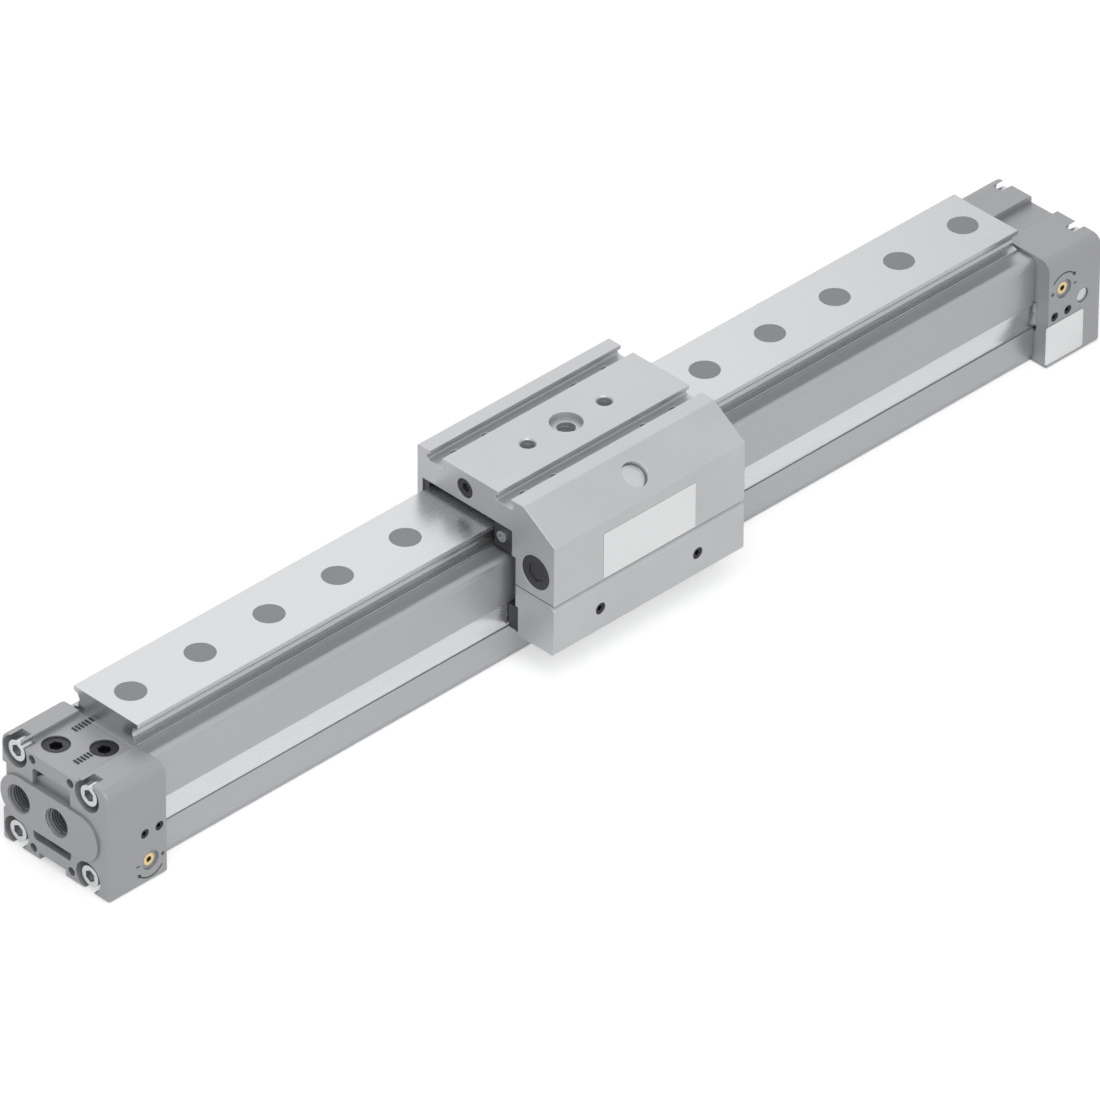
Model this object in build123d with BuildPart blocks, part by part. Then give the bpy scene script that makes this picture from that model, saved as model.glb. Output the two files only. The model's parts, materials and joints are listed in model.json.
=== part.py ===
"""Rodless pneumatic cylinder with a recirculating ball guide.

A slotted aluminium barrel carries a guide rail on top. The piston inside drives
the slide through a thin neck in the side slot, which two steel bands seal.
Axes: +X along the stroke, the slot faces -Y, +Z up. The origin lies under the
rail's centre line, on the underside, at mid stroke. All sizes are millimetres.
"""
import os
from math import atan2, degrees

from build123d import *

os.makedirs("parts", exist_ok=True)

# Lengths along the stroke
stroke = 400.0
piston_half = 61.0          # piston's middle to its face
piston_gap = 1.0            # left at each end of the stroke, piston to cap
cap_length = 33.0
slide_length = 114.4

# Barrel section
barrel_near = -29.3         # slot side
barrel_far = 23.7
barrel_height = 54.3
barrel_corner = 3.4
bore_diameter = 32.0
bore_y = -3.0
bore_z = 24.0
slot_width = 6.4
rail_seat_depth = 0.6
channel_diameter = 5.0      # air channels between the two caps
channel_y = 14.0            # from the bore axis, to both sides
channel_below_top = 8.3
ledge_height = 3.2          # clamping ledge along both lower edges
ledge_depth = 1.4
sensor_slot_z = 26.0
sensor_slot_diameter = 4.8
sensor_slot_mouth = 3.0

# Bands
cover_band_width = 12.4
cover_band_thick = 1.0
cover_band_sink = 0.4       # below the barrel's side
inner_band_width = 9.0
inner_band_thick = 0.8
inner_band_dip = 6.2
band_fit = 0.15             # side clearance of a band in its groove
band_run_length = 26.0      # each ramp where a band leaves its groove
band_hold_length = 44.0     # the flat stretch past the driver
band_bend = 15.0
band_clear = 0.4            # driver to the bands that pass it
band_tail = 12.0            # how far the bands run into the caps

# Guide rail
rail_half_width = 19.6
rail_height = 12.0
rail_end_gap = 1.5
rail_lip = 2.2
rail_waist = 2.6            # how far the ball tracks lie behind the lip
rail_foot = 1.8
rail_slope = 0.8
rail_pitch = 40.0
rail_end_margin = 14.5      # rail end to its first screw
outer_holes = 5             # at each end, at the full pitch
rail_cap_diameter = 14.0
rail_cap_thick = 2.2
rail_head_diameter = 13.0
rail_head_height = 5.0
rail_bolt_diameter = 8.0
rail_bolt_floor = 4.2       # left between these screws and the bore
rail_bolt_hole = 8.8

# End caps
cap_near = -38.3
cap_far = 27.6
cap_over_barrel = 1.7
cap_corner = 5.2
cap_foot = 1.5
cap_edge = 1.2
bolt_spacing_y = 44.4
bolt_center_y = -3.0
lower_bolt_z = 7.0
bolt_below_top = 5.3        # barrel's top to the upper cap screws
cap_bolt_diameter = 6.0
cap_bolt_hole = 6.6
cap_bolt_head = 10.0
cap_bolt_head_height = 6.0
cap_bolt_recess = 15.0
cap_bolt_sink = 7.2
cap_bolt_thread = 12.0      # length in the barrel
port_diameter = 13.16
port_mouth = 13.9
port_mouth_depths = (0.6, 1.0)      # far and near port
port_depths = (11.0, 12.0)
port_z = 26.3               # on the left cap; the right one is the same casting upside down
port_spacing = 23.4
first_port_y = 16.2
boss_radius = 11.4
boss_proud = 1.0
boss_tail = 37.2            # first port to the boss's other end
window_width = 23.2         # upright recess in the end face
window_height = 37.0
window_depth = 5.0
window_corner = 2.0
window_y = -3.2
hub_radius = 17.0
hub_proud = 2.4
saddle_near = -20.0         # sunk flat between the two ears
saddle_far = 15.0
saddle_depth = 2.5
belly_width = 16.5          # channel in the face opposite the saddle
belly_depth = 3.6
foot_hole_diameter = 4.2    # for a foot's screws, beside saddle and channel
foot_hole_depth = 5.0
foot_hole_spacing = 23.5
foot_hole_z = (4.5, 50.5)
flank_depth = 3.0           # recess in the far side, between the ears
flank_margin = 1.0
flank_flange = 6.0          # left towards the barrel
top_port_diameter = 12.6
top_port_depth = 8.0
top_ports = ((21.0, 6.5), (8.2, -9.5))      # from the inner face, and Y
top_plug_sink = 0.8
register_length = 4.0
register_fit = 0.05
seal_width = 1.8
seal_depth = 1.5
channel_seal_diameter = 8.0
channel_seal_depth = 1.6
needle_diameter = 6.0
needle_x = 9.3              # from the cap's inner face
needle_z = (10.8, 38.6)     # left cap, right cap
needle_sink = 1.0
needle_length = 8.0
needle_fit = 0.05
needle_recess = 9.4
clamp_screw_diameter = 4.6
clamp_screws_x = (3.9, 12.2)
clamp_screw_rise = 2.0      # above the bore's axis
clamp_plate_thick = 2.0
clamp_plate_inset = 1.5
pocket_extra = 1.5          # past the bands' ends and edges
side_port_x = 21.6          # only on the right cap
side_port_z = 29.4
side_port_diameter = 7.2
side_port_depth = 6.0
side_plug_sink = 0.8
cushion_diameter = 11.0
cushion_length = 16.0
cushion_seat = 10.0         # length held in the cap
cushion_bore = 4.0

# Slide
slide_over_rail = 19.3
slide_far = 26.6
slide_edge = 0.8
slide_under_gap = 3.2       # rail to the slide's underside
far_leg_gap = 3.5           # rail's foot to the far leg
top_near = -38.5
skirt_near = -57.4
skirt_inner = -33.7
shoulder_drop = 12.4        # height of the slanted face
skirt_over_bore = 18.2      # bore axis to the skirt's lower edge
tslot_spacing = 42.1
tslot_mouth = 7.6
tslot_inside = 11.4
tslot_round = 0.46           # corner radius, as a share of the undercut's height
tslot_lip = 1.8
tslot_depth = 5.0
pilot_diameter = 15.0
pilot_depth = 3.0
pilot_thread = 8.5
pilot_thread_depth = 10.0
mount_hole_spacing = 46.0
mount_hole_diameter = 6.8
mount_hole_mouth = 8.2
mount_hole_depth = 12.0
slot_thread_x = (27.0, 45.0)
slot_thread_diameter = 5.0
slot_thread_depth = 6.0
lube_plug_diameter = 9.6
lube_plug_y = -2.5
lube_plug_drop = 8.6        # below the slide's top
lube_plug_thick = 3.0
stop_y = -46.0
stop_drop = 30.4
stop_diameter = 14.0
stop_rim = 16.6
stop_rim_thick = 1.2
stop_length = 12.0
access_diameter = 12.6
access_depth = 7.0
access_plug_sink = 2.4
plate_width = 55.4
plate_height = 23.4
plate_thick = 0.5
plate_edge = 0.2            # above the skirt's lower edge

# Driver block under the skirt
block_under_bore = 8.0
block_bevel = 3.0
block_round = 1.8
block_pin_x = 29.3
block_pin_diameter = 5.8
block_pin_rise = 3.6        # above the bore's axis
block_pin_length = 12.0
block_pin_sink = 0.6
block_bolt_x = 36.0
block_bolt_y = -46.5
block_bolt_diameter = 5.0
block_bolt_head = 8.5
block_bolt_head_height = 5.0
block_bolt_sink = 6.0
block_bolt_thread = 8.0     # length in the skirt
scraper_length = 6.0
scraper_gap = 0.4

# Runners on both sides of the rail
rail_gap = 0.5              # runner to the rail's lip
near_runner_width = 11.4
far_runner_width = 3.4
runner_gap = 2.3            # rail's foot to the runners
runner_end = 7.0            # length of each return cap
return_cap_sink = 0.6
return_screw_diameter = 3.0
return_screw_head = 5.2
return_screw_head_height = 1.6
runner_screw_x = 30.0
runner_screw_diameter = 3.0
runner_screw_head = 5.4
runner_screw_head_height = 3.0
runner_screw_sink = 3.4
runner_screw_thread = 5.0
preload_screw_diameter = 3.0
preload_screw_rise = 2.0    # above the ball track
ball_diameter = 4.0
ball_bite = 0.5             # how deep the balls sit in the rail's side
ball_gap = 0.3              # ball to the rail's groove
ball_seat = 0.06            # ball to its runner's groove
balls_in_row = 7
ball_pitch = 12.0
track_rise = 6.3            # rail's foot to the ball track

# Driver and piston
neck_side_gap = 0.4
neck_length = 40.0
head_thick = 2.4
head_gap = 1.8              # barrel to the driver's head
tongue_thick = 4.0
tongue_reach = 5.6
tongue_fit = 0.1
piston_length = 23.0
yoke_half_width = 8.6
piston_side_gap = 0.35
seal_side_gap = 0.15
ring_width = 4.0
ring_depth = 2.8
piston_bore = 13.4          # takes the cushion spigot
piston_bore_depth = 19.0
cushion_ring_gap = 0.3
wear_ring_width = 8.0
wear_ring_depth = 1.5
magnet_diameter = 5.0
magnet_length = 6.0
piston_screw_diameter = 6.0
piston_screw_head = 10.0
piston_screw_head_height = 3.0
piston_screw_thread = 10.0
thread_gap = 0.06           # screw or plug to the wall of its own hole
plug_chamfer = 0.3
socket_share = 0.3          # hexagon socket's radius, as a share of the head

# Values that follow
barrel_length = stroke + 2 * (piston_half + piston_gap + register_length)
barrel_end = barrel_length / 2
cap_face = barrel_end + cap_length
slide_end = slide_length / 2
bore_r = bore_diameter / 2
bore_wall_y = bore_y - bore_r
channel_z = barrel_height - channel_below_top
cap_height = barrel_height + cap_over_barrel
bolt_spacing_z = barrel_height - bolt_below_top - lower_bolt_z
bolt_center_z = lower_bolt_z + bolt_spacing_z / 2
clamp_screw_z = bore_z + clamp_screw_rise
rail_base = barrel_height - rail_seat_depth
rail_top = rail_base + rail_height
rail_end = barrel_end - rail_end_gap
rail_seat_z = rail_top - rail_cap_thick - rail_head_height - 0.3
rail_bolt_thread = rail_base - bore_z - bore_r - rail_bolt_floor
track_z = rail_base + track_rise
runner_bottom = rail_base + runner_gap
preload_screw_z = track_z + preload_screw_rise
slide_top = rail_top + slide_over_rail
slide_under = rail_top + slide_under_gap
slide_leg_bottom = rail_base + far_leg_gap
skirt_top = slide_top - shoulder_drop
skirt_bottom = bore_z + skirt_over_bore
lube_plug_z = slide_top - lube_plug_drop
stop_z = slide_top - stop_drop
block_bottom = bore_z - block_under_bore
block_pin_z = bore_z + block_pin_rise
slide_mid_y = (top_near + slide_far) / 2
tslots_y = (slide_mid_y - tslot_spacing / 2, slide_mid_y + tslot_spacing / 2)
yoke_end = piston_half - piston_length
runner_half = slide_end - runner_end
runner_inner = rail_half_width + rail_gap
near_pocket_y = -runner_inner - near_runner_width
far_pocket_y = runner_inner + far_runner_width
track_y = rail_half_width - rail_waist + ball_diameter / 2 - ball_bite
first_hole = rail_end - rail_end_margin
inner_hole = first_hole - (outer_holes - 1) * rail_pitch
middle_gaps = max(1, round(2 * inner_hole / rail_pitch))
middle_pitch = 2 * inner_hole / middle_gaps
cover_groove_y = barrel_near + cover_band_sink + cover_band_thick
inner_groove_y = bore_wall_y - inner_band_thick
head_near = barrel_near - head_gap - head_thick
cover_band_lift = cover_groove_y - head_near + band_clear
band_room_y = head_near - 2 * band_clear - cover_band_thick
tongue_z = bore_z + cover_band_width / 2 + band_clear
clamp_plate_y = cover_groove_y - cover_band_thick
piston_r = bore_r - piston_side_gap
slant = degrees(atan2(top_near - skirt_near, slide_top - skirt_top))


def rail_hole_places():
    """X of every rail screw: full pitch from both ends, evenly shared between."""
    outer = [side * (first_hole - i * rail_pitch) for side in (-1, 1) for i in range(outer_holes)]
    return sorted(outer + [-inner_hole + i * middle_pitch for i in range(1, middle_gaps)])


def write(piece, name):
    """Label a finished piece and write its STEP file."""
    piece.part.label = name
    export_step(piece.part, f"parts/{name}.step")


def across(x):
    """A plane square to the stroke at x, with local X along +Y and local Y along +Z."""
    return Plane(origin=(x, 0, 0), x_dir=(0, 1, 0), z_dir=(1, 0, 0))


def front(y):
    """A plane that faces the slot side at y, with local X along +X and local Y along +Z."""
    return Plane(origin=(0, y, 0), x_dir=(1, 0, 0), z_dir=(0, -1, 0))


def block_sketch(low, high, mode=Mode.ADD):
    """A rectangle between two corners of the open sketch."""
    with Locations(((low[0] + high[0]) / 2, (low[1] + high[1]) / 2)):
        Rectangle(high[0] - low[0], high[1] - low[1], mode=mode)


def socket_screws(planes, diameter, length, head, head_height):
    """Socket head screws, one for each plane: the seat lies on it, the head along its normal."""
    with BuildPart() as screws:
        for plane in planes:
            with BuildSketch(plane):
                Circle(head / 2)
            extrude(amount=head_height)
            with BuildSketch(plane):
                Circle(diameter / 2 - thread_gap)
            extrude(amount=-length)
            with BuildSketch(plane.offset(head_height)):
                RegularPolygon(head * socket_share, 6)
            extrude(amount=-head_height * 0.6, mode=Mode.SUBTRACT)
    return screws


def plain_plug(plane, diameter, length):
    """A smooth pressed-in plug whose outer face lies on a plane."""
    with BuildPart() as plug:
        with BuildSketch(plane):
            Circle(diameter / 2 - thread_gap)
        extrude(amount=-length)
        chamfer(plug.edges().filter_by(GeomType.CIRCLE), plug_chamfer)
    return plug


def socket_plugs(planes, diameter, length, socket):
    """Headless plugs with a hexagon socket, one for each plane, which is the plug's outer face."""
    with BuildPart() as plugs:
        for plane in planes:
            with BuildSketch(plane):
                Circle(diameter / 2 - thread_gap)
            extrude(amount=-length)
            with BuildSketch(plane):
                RegularPolygon(socket / 2, 6)
            extrude(amount=-length / 2, mode=Mode.SUBTRACT)
    return plugs


def band_points(y, shift):
    """A band's middle line in plan: along its groove, and shifted past the driver."""
    hold = band_hold_length / 2
    ramp = hold + band_run_length
    tail = barrel_end + band_tail
    return ((-tail, y), (-ramp, y), (-hold, y + shift), (hold, y + shift), (ramp, y), (tail, y))


def band(y, shift, thick, width):
    """A steel band of the given section on its path."""
    with BuildPart() as strip:
        with BuildSketch(Plane.XY.offset(bore_z - width / 2)):
            with BuildLine():
                FilletPolyline(*band_points(y, shift), radius=band_bend)
            trace(line_width=thick)
        extrude(amount=width)
    return strip


# Barrel
with BuildPart() as barrel:
    with BuildSketch(across(-barrel_end)) as section:
        with BuildLine():
            Polyline(
                (barrel_near + ledge_depth, 0),
                (barrel_far - ledge_depth, 0),
                (barrel_far - ledge_depth, ledge_height),
                (barrel_far, ledge_height),
                (barrel_far, barrel_height),
                (barrel_near, barrel_height),
                (barrel_near, ledge_height),
                (barrel_near + ledge_depth, ledge_height),
                close=True,
            )
        make_face()
        fillet(section.vertices().group_by(Axis.Y)[-1], barrel_corner)
        with Locations((bore_y, bore_z)):
            Circle(bore_r, mode=Mode.SUBTRACT)
        with Locations((bore_y - channel_y, channel_z), (bore_y + channel_y, channel_z)):
            Circle(channel_diameter / 2, mode=Mode.SUBTRACT)
        with Locations((barrel_far - sensor_slot_diameter / 2 - 0.8, sensor_slot_z)):
            Circle(sensor_slot_diameter / 2, mode=Mode.SUBTRACT)
            Rectangle(
                sensor_slot_diameter * 2, sensor_slot_mouth,
                align=(Align.MIN, Align.CENTER), mode=Mode.SUBTRACT,
            )
        for depth_y, opening in (
            (bore_y, slot_width),
            (cover_groove_y, cover_band_width + 2 * band_fit),
        ):
            block_sketch(
                (barrel_near - 1, bore_z - opening / 2), (depth_y, bore_z + opening / 2), Mode.SUBTRACT
            )
        groove_half = inner_band_width / 2 + band_fit
        block_sketch((inner_groove_y, bore_z - groove_half), (bore_y, bore_z + groove_half), Mode.SUBTRACT)
        block_sketch((-rail_half_width, rail_base), (rail_half_width, barrel_height + 1), Mode.SUBTRACT)
    extrude(amount=barrel_length)
    with BuildSketch(Plane.XY.offset(rail_base)):
        with Locations(*[(x, 0) for x in rail_hole_places()]):
            Circle(rail_bolt_diameter / 2)
    extrude(amount=-rail_bolt_thread - 0.5, mode=Mode.SUBTRACT)
    for side in (-1, 1):
        with BuildSketch(across(side * barrel_end)):
            with Locations((bolt_center_y, bolt_center_z)):
                with GridLocations(bolt_spacing_y, bolt_spacing_z, 2, 2):
                    Circle(cap_bolt_diameter / 2)
        extrude(amount=-side * (cap_bolt_thread + 1), mode=Mode.SUBTRACT)
write(barrel, "barrel_profile")

# Guide rail with its ball tracks, and what fastens it
with BuildPart() as rail:
    waist_y = rail_half_width - rail_waist
    with BuildSketch(across(-rail_end)):
        with BuildLine():
            Polyline(
                (0, rail_base),
                (rail_half_width, rail_base),
                (rail_half_width, rail_base + rail_foot),
                (waist_y, rail_base + rail_foot + rail_slope),
                (waist_y, rail_top - rail_lip - rail_slope),
                (rail_half_width, rail_top - rail_lip),
                (rail_half_width, rail_top),
                (0, rail_top),
                close=True,
            )
        make_face()
        with Locations((track_y, track_z)):
            Circle(ball_diameter / 2 + ball_gap, mode=Mode.SUBTRACT)
        mirror(about=Plane.YZ)
    extrude(amount=2 * rail_end)
    with Locations(*[(x, 0, rail_top) for x in rail_hole_places()]):
        CounterBoreHole(rail_bolt_hole / 2, rail_cap_diameter / 2, rail_top - rail_seat_z)
write(rail, "guide_rail")

rail_screws = socket_screws(
    [Plane(origin=(x, 0, rail_seat_z)) for x in rail_hole_places()],
    rail_bolt_diameter, rail_seat_z - rail_base + rail_bolt_thread, rail_head_diameter, rail_head_height,
)
write(rail_screws, "rail_screws")

with BuildPart() as rail_caps:
    with BuildSketch(Plane.XY.offset(rail_top)):
        with Locations(*[(x, 0) for x in rail_hole_places()]):
            Circle(rail_cap_diameter / 2 - thread_gap)
    extrude(amount=-rail_cap_thick)
write(rail_caps, "rail_hole_caps")

# Sealing bands
cover_mid_y = cover_groove_y - cover_band_thick / 2
inner_mid_y = inner_groove_y + inner_band_thick / 2
cover_band = band(cover_mid_y, -cover_band_lift, cover_band_thick, cover_band_width)
write(cover_band, "cover_band")
sealing_band = band(inner_mid_y, inner_band_dip, inner_band_thick, inner_band_width)
write(sealing_band, "sealing_band")


def end_cap(side):
    """End cap: side -1 is the left one, with the saddle on top, and 1 the right one, with it below."""
    inner = side * barrel_end
    outer = side * cap_face
    saddle_z = cap_height - saddle_depth if side < 0 else saddle_depth
    belly_z = belly_depth if side < 0 else cap_height - belly_depth
    boss_z = port_z if side < 0 else cap_height - port_z
    window_bottom = (cap_height - window_height) / 2
    with BuildPart() as cap:
        with BuildSketch(across(inner)) as outline:
            block_sketch((cap_near, 0), (cap_far, cap_height))
            fillet(outline.vertices().group_by(Axis.Y)[-1], cap_corner)
            fillet(outline.vertices().group_by(Axis.Y)[0], cap_foot)
        extrude(amount=side * cap_length)
        fillet(cap.faces().sort_by(Axis.X)[0 if side < 0 else -1].edges(), cap_edge)
        # Saddle between the ears, and the channel opposite it
        with BuildSketch(across(inner)):
            block_sketch((saddle_near, saddle_z), (saddle_far, saddle_z - side * (saddle_depth + 1)))
            block_sketch(
                (window_y - belly_width / 2, belly_z),
                (window_y + belly_width / 2, belly_z + side * (belly_depth + 1)),
            )
        extrude(amount=side * cap_length, mode=Mode.SUBTRACT)
        # Recess in the far side, between the ears round the screws
        with BuildSketch(across(inner + side * flank_flange)):
            reach = bolt_spacing_z / 2 - cap_bolt_recess / 2 - flank_margin
            block_sketch((cap_far - flank_depth, bolt_center_z - reach), (cap_far + 1, bolt_center_z + reach))
        extrude(amount=side * (cap_length - flank_flange), mode=Mode.SUBTRACT)
        # Upright window with its round hub, crossed by the port boss
        with BuildSketch(across(outer)):
            with Locations((window_y, cap_height / 2)):
                RectangleRounded(window_width, window_height, window_corner)
        extrude(amount=-side * window_depth, mode=Mode.SUBTRACT)
        with BuildSketch(across(outer - side * window_depth)):
            with Locations((window_y, cap_height / 2)):
                Circle(hub_radius)
                Rectangle(window_width, window_height, mode=Mode.INTERSECT)
        extrude(amount=side * hub_proud)
        with BuildSketch(across(outer - side * window_depth)):
            with Locations((first_port_y - boss_tail / 2, boss_z)):
                SlotCenterToCenter(boss_tail, 2 * boss_radius)
        extrude(amount=side * (window_depth + boss_proud))
        # Face ports
        for i, (depth, mouth_depth) in enumerate(zip(port_depths, port_mouth_depths)):
            for diameter, length in ((port_diameter, depth), (port_mouth, mouth_depth)):
                with BuildSketch(across(outer + side * boss_proud)):
                    with Locations((first_port_y - i * port_spacing, boss_z)):
                        Circle(diameter / 2)
                extrude(amount=-side * length, mode=Mode.SUBTRACT)
        # Holes for a foot, and those of the cap's own screws
        with BuildSketch(across(outer)):
            with Locations(*[
                (window_y + i * foot_hole_spacing / 2, z if side < 0 else cap_height - z)
                for i in (-1, 1) for z in foot_hole_z
            ]):
                Circle(foot_hole_diameter / 2)
        extrude(amount=-side * foot_hole_depth, mode=Mode.SUBTRACT)
        for diameter, depth in ((cap_bolt_recess, cap_bolt_sink), (cap_bolt_hole, cap_length)):
            with BuildSketch(across(outer)):
                with Locations((bolt_center_y, bolt_center_z)):
                    with GridLocations(bolt_spacing_y, bolt_spacing_z, 2, 2):
                        Circle(diameter / 2)
            extrude(amount=-side * depth, mode=Mode.SUBTRACT)
        # Register in the bore, with its seal groove and the spigot's seat
        with BuildSketch(across(inner)):
            with Locations((bore_y, bore_z)):
                Circle(bore_r - register_fit)
        extrude(amount=-side * register_length)
        with BuildSketch(across(inner - side * (register_length - seal_width) / 2)):
            with Locations((bore_y, bore_z)):
                Circle(bore_r + 1)
                Circle(bore_r - seal_depth, mode=Mode.SUBTRACT)
        extrude(amount=-side * seal_width, mode=Mode.SUBTRACT)
        with BuildSketch(across(inner - side * register_length)):
            with Locations((bore_y, bore_z)):
                Circle(cushion_diameter / 2)
        extrude(amount=side * (register_length + cushion_seat), mode=Mode.SUBTRACT)
        with BuildSketch(across(inner)):
            with Locations((bore_y, bore_z)):
                Circle(cushion_bore / 2)
        extrude(amount=side * (cap_length + boss_proud - port_depths[1] + 1), mode=Mode.SUBTRACT)
        # Seats of the channel seals, and the pockets for both bands
        with BuildSketch(across(inner)):
            with Locations((bore_y - channel_y, channel_z), (bore_y + channel_y, channel_z)):
                Circle(channel_seal_diameter / 2)
        extrude(amount=side * channel_seal_depth, mode=Mode.SUBTRACT)
        with BuildSketch(across(inner)):
            half = cover_band_width / 2 + pocket_extra
            block_sketch((clamp_plate_y - clamp_plate_thick, bore_z - half), (cover_groove_y, bore_z + half))
            half = inner_band_width / 2 + band_fit
            block_sketch((inner_groove_y, bore_z - half), (bore_wall_y + thread_gap, bore_z + half))
        extrude(amount=side * (band_tail + pocket_extra), mode=Mode.SUBTRACT)
        # Cushion needle and band clamp screws in the slot side
        needle_place = (side * (barrel_end + needle_x), needle_z[0 if side < 0 else 1])
        for diameter, depth in (
            (needle_recess, needle_sink),
            (needle_diameter, needle_sink + needle_length + needle_sink / 2),
        ):
            with BuildSketch(front(cap_near)):
                with Locations(needle_place):
                    Circle(diameter / 2)
            extrude(amount=-depth, mode=Mode.SUBTRACT)
        with BuildSketch(front(cap_near)):
            with Locations(*[(side * (barrel_end + x), clamp_screw_z) for x in clamp_screws_x]):
                Circle(clamp_screw_diameter / 2)
        extrude(amount=-(clamp_plate_y - clamp_plate_thick - cap_near), mode=Mode.SUBTRACT)
        # Plugged ports in the saddle
        with BuildSketch(Plane.XY.offset(saddle_z)):
            with Locations(*[(side * (barrel_end + x), y) for x, y in top_ports]):
                Circle(top_port_diameter / 2)
        extrude(amount=side * top_port_depth, mode=Mode.SUBTRACT)
        if side > 0:
            with BuildSketch(front(cap_near)):
                with Locations((barrel_end + side_port_x, side_port_z)):
                    Circle(side_port_diameter / 2)
            extrude(amount=-side_port_depth, mode=Mode.SUBTRACT)
    return cap


def end_fittings(side, name):
    """What one end cap holds, written as nodes that start with the cap's name."""
    inner = side * barrel_end
    bolt_seat = side * (cap_face - cap_bolt_sink)
    corners = [
        (bolt_center_y + i * bolt_spacing_y / 2, bolt_center_z + j * bolt_spacing_z / 2)
        for i in (-1, 1) for j in (-1, 1)
    ]
    screws = socket_screws(
        [Plane(origin=(bolt_seat, y, z), z_dir=(side, 0, 0)) for y, z in corners],
        cap_bolt_diameter, cap_length - cap_bolt_sink + cap_bolt_thread, cap_bolt_head, cap_bolt_head_height,
    )
    write(screws, f"{name}_cap_screws")

    saddle_z = cap_height - saddle_depth - top_plug_sink if side < 0 else saddle_depth + top_plug_sink
    plugs = socket_plugs(
        [Plane(origin=(side * (barrel_end + x), y, saddle_z), z_dir=(0, 0, -side)) for x, y in top_ports],
        top_port_diameter, top_port_depth - 2 * top_plug_sink, top_port_diameter / 2,
    )
    write(plugs, f"{name}_port_plugs")

    clamp_screws = socket_plugs(
        [
            Plane(
                origin=(side * (barrel_end + x), cap_near + needle_sink / 2, clamp_screw_z), z_dir=(0, -1, 0)
            )
            for x in clamp_screws_x
        ],
        clamp_screw_diameter, clamp_plate_y - clamp_plate_thick - cap_near - needle_sink / 2,
        clamp_screw_diameter / 2,
    )
    write(clamp_screws, f"{name}_clamp_screws")

    needle_place = (side * (barrel_end + needle_x), cap_near + needle_sink, needle_z[0 if side < 0 else 1])
    needle = socket_plugs(
        [Plane(origin=needle_place, z_dir=(0, -1, 0))],
        needle_diameter + 2 * (thread_gap - needle_fit), needle_length, needle_diameter / 2,
    )
    write(needle, f"{name}_cushion_needle")

    with BuildPart() as clamp:
        with BuildSketch(across(inner + side * clamp_plate_inset)):
            half = cover_band_width / 2 + pocket_extra - band_fit
            block_sketch((clamp_plate_y - clamp_plate_thick, bore_z - half), (clamp_plate_y, bore_z + half))
        extrude(amount=side * (band_tail + pocket_extra - band_fit - clamp_plate_inset))
    write(clamp, f"{name}_band_clamp")

    with BuildPart() as spigot:
        with BuildSketch(across(side * (barrel_end + cushion_seat))):
            with Locations((bore_y, bore_z)):
                Circle(cushion_diameter / 2 - register_fit)
                Circle(cushion_bore / 2, mode=Mode.SUBTRACT)
        extrude(amount=-side * (cushion_seat + register_length + cushion_length))
        tip = spigot.faces().sort_by(Axis.X)[-1 if side < 0 else 0].edges().sort_by(SortBy.RADIUS)[-1]
        chamfer(tip, 1.0)
    write(spigot, f"{name}_cushion_spigot")

    with BuildPart() as bore_seal:
        with BuildSketch(across(inner - side * (register_length - seal_width) / 2)):
            with Locations((bore_y, bore_z)):
                Circle(bore_r - register_fit / 2)
                Circle(bore_r - seal_depth, mode=Mode.SUBTRACT)
        extrude(amount=-side * seal_width)
    write(bore_seal, f"{name}_bore_seal")

    with BuildPart() as channel_seals:
        with BuildSketch(across(inner)):
            with Locations((bore_y - channel_y, channel_z), (bore_y + channel_y, channel_z)):
                Circle(channel_seal_diameter / 2 - thread_gap)
                Circle(channel_diameter / 2, mode=Mode.SUBTRACT)
        extrude(amount=side * channel_seal_depth)
    write(channel_seals, f"{name}_channel_seals")


for cap_side, cap_name in ((-1, "left"), (1, "right")):
    write(end_cap(cap_side), f"{cap_name}_end_cap")
    end_fittings(cap_side, cap_name)

side_plug = plain_plug(
    Plane(origin=(barrel_end + side_port_x, cap_near + side_plug_sink, side_port_z), z_dir=(0, -1, 0)),
    side_port_diameter, side_port_depth - side_plug_sink,
)
write(side_plug, "side_port_plug")

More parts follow.
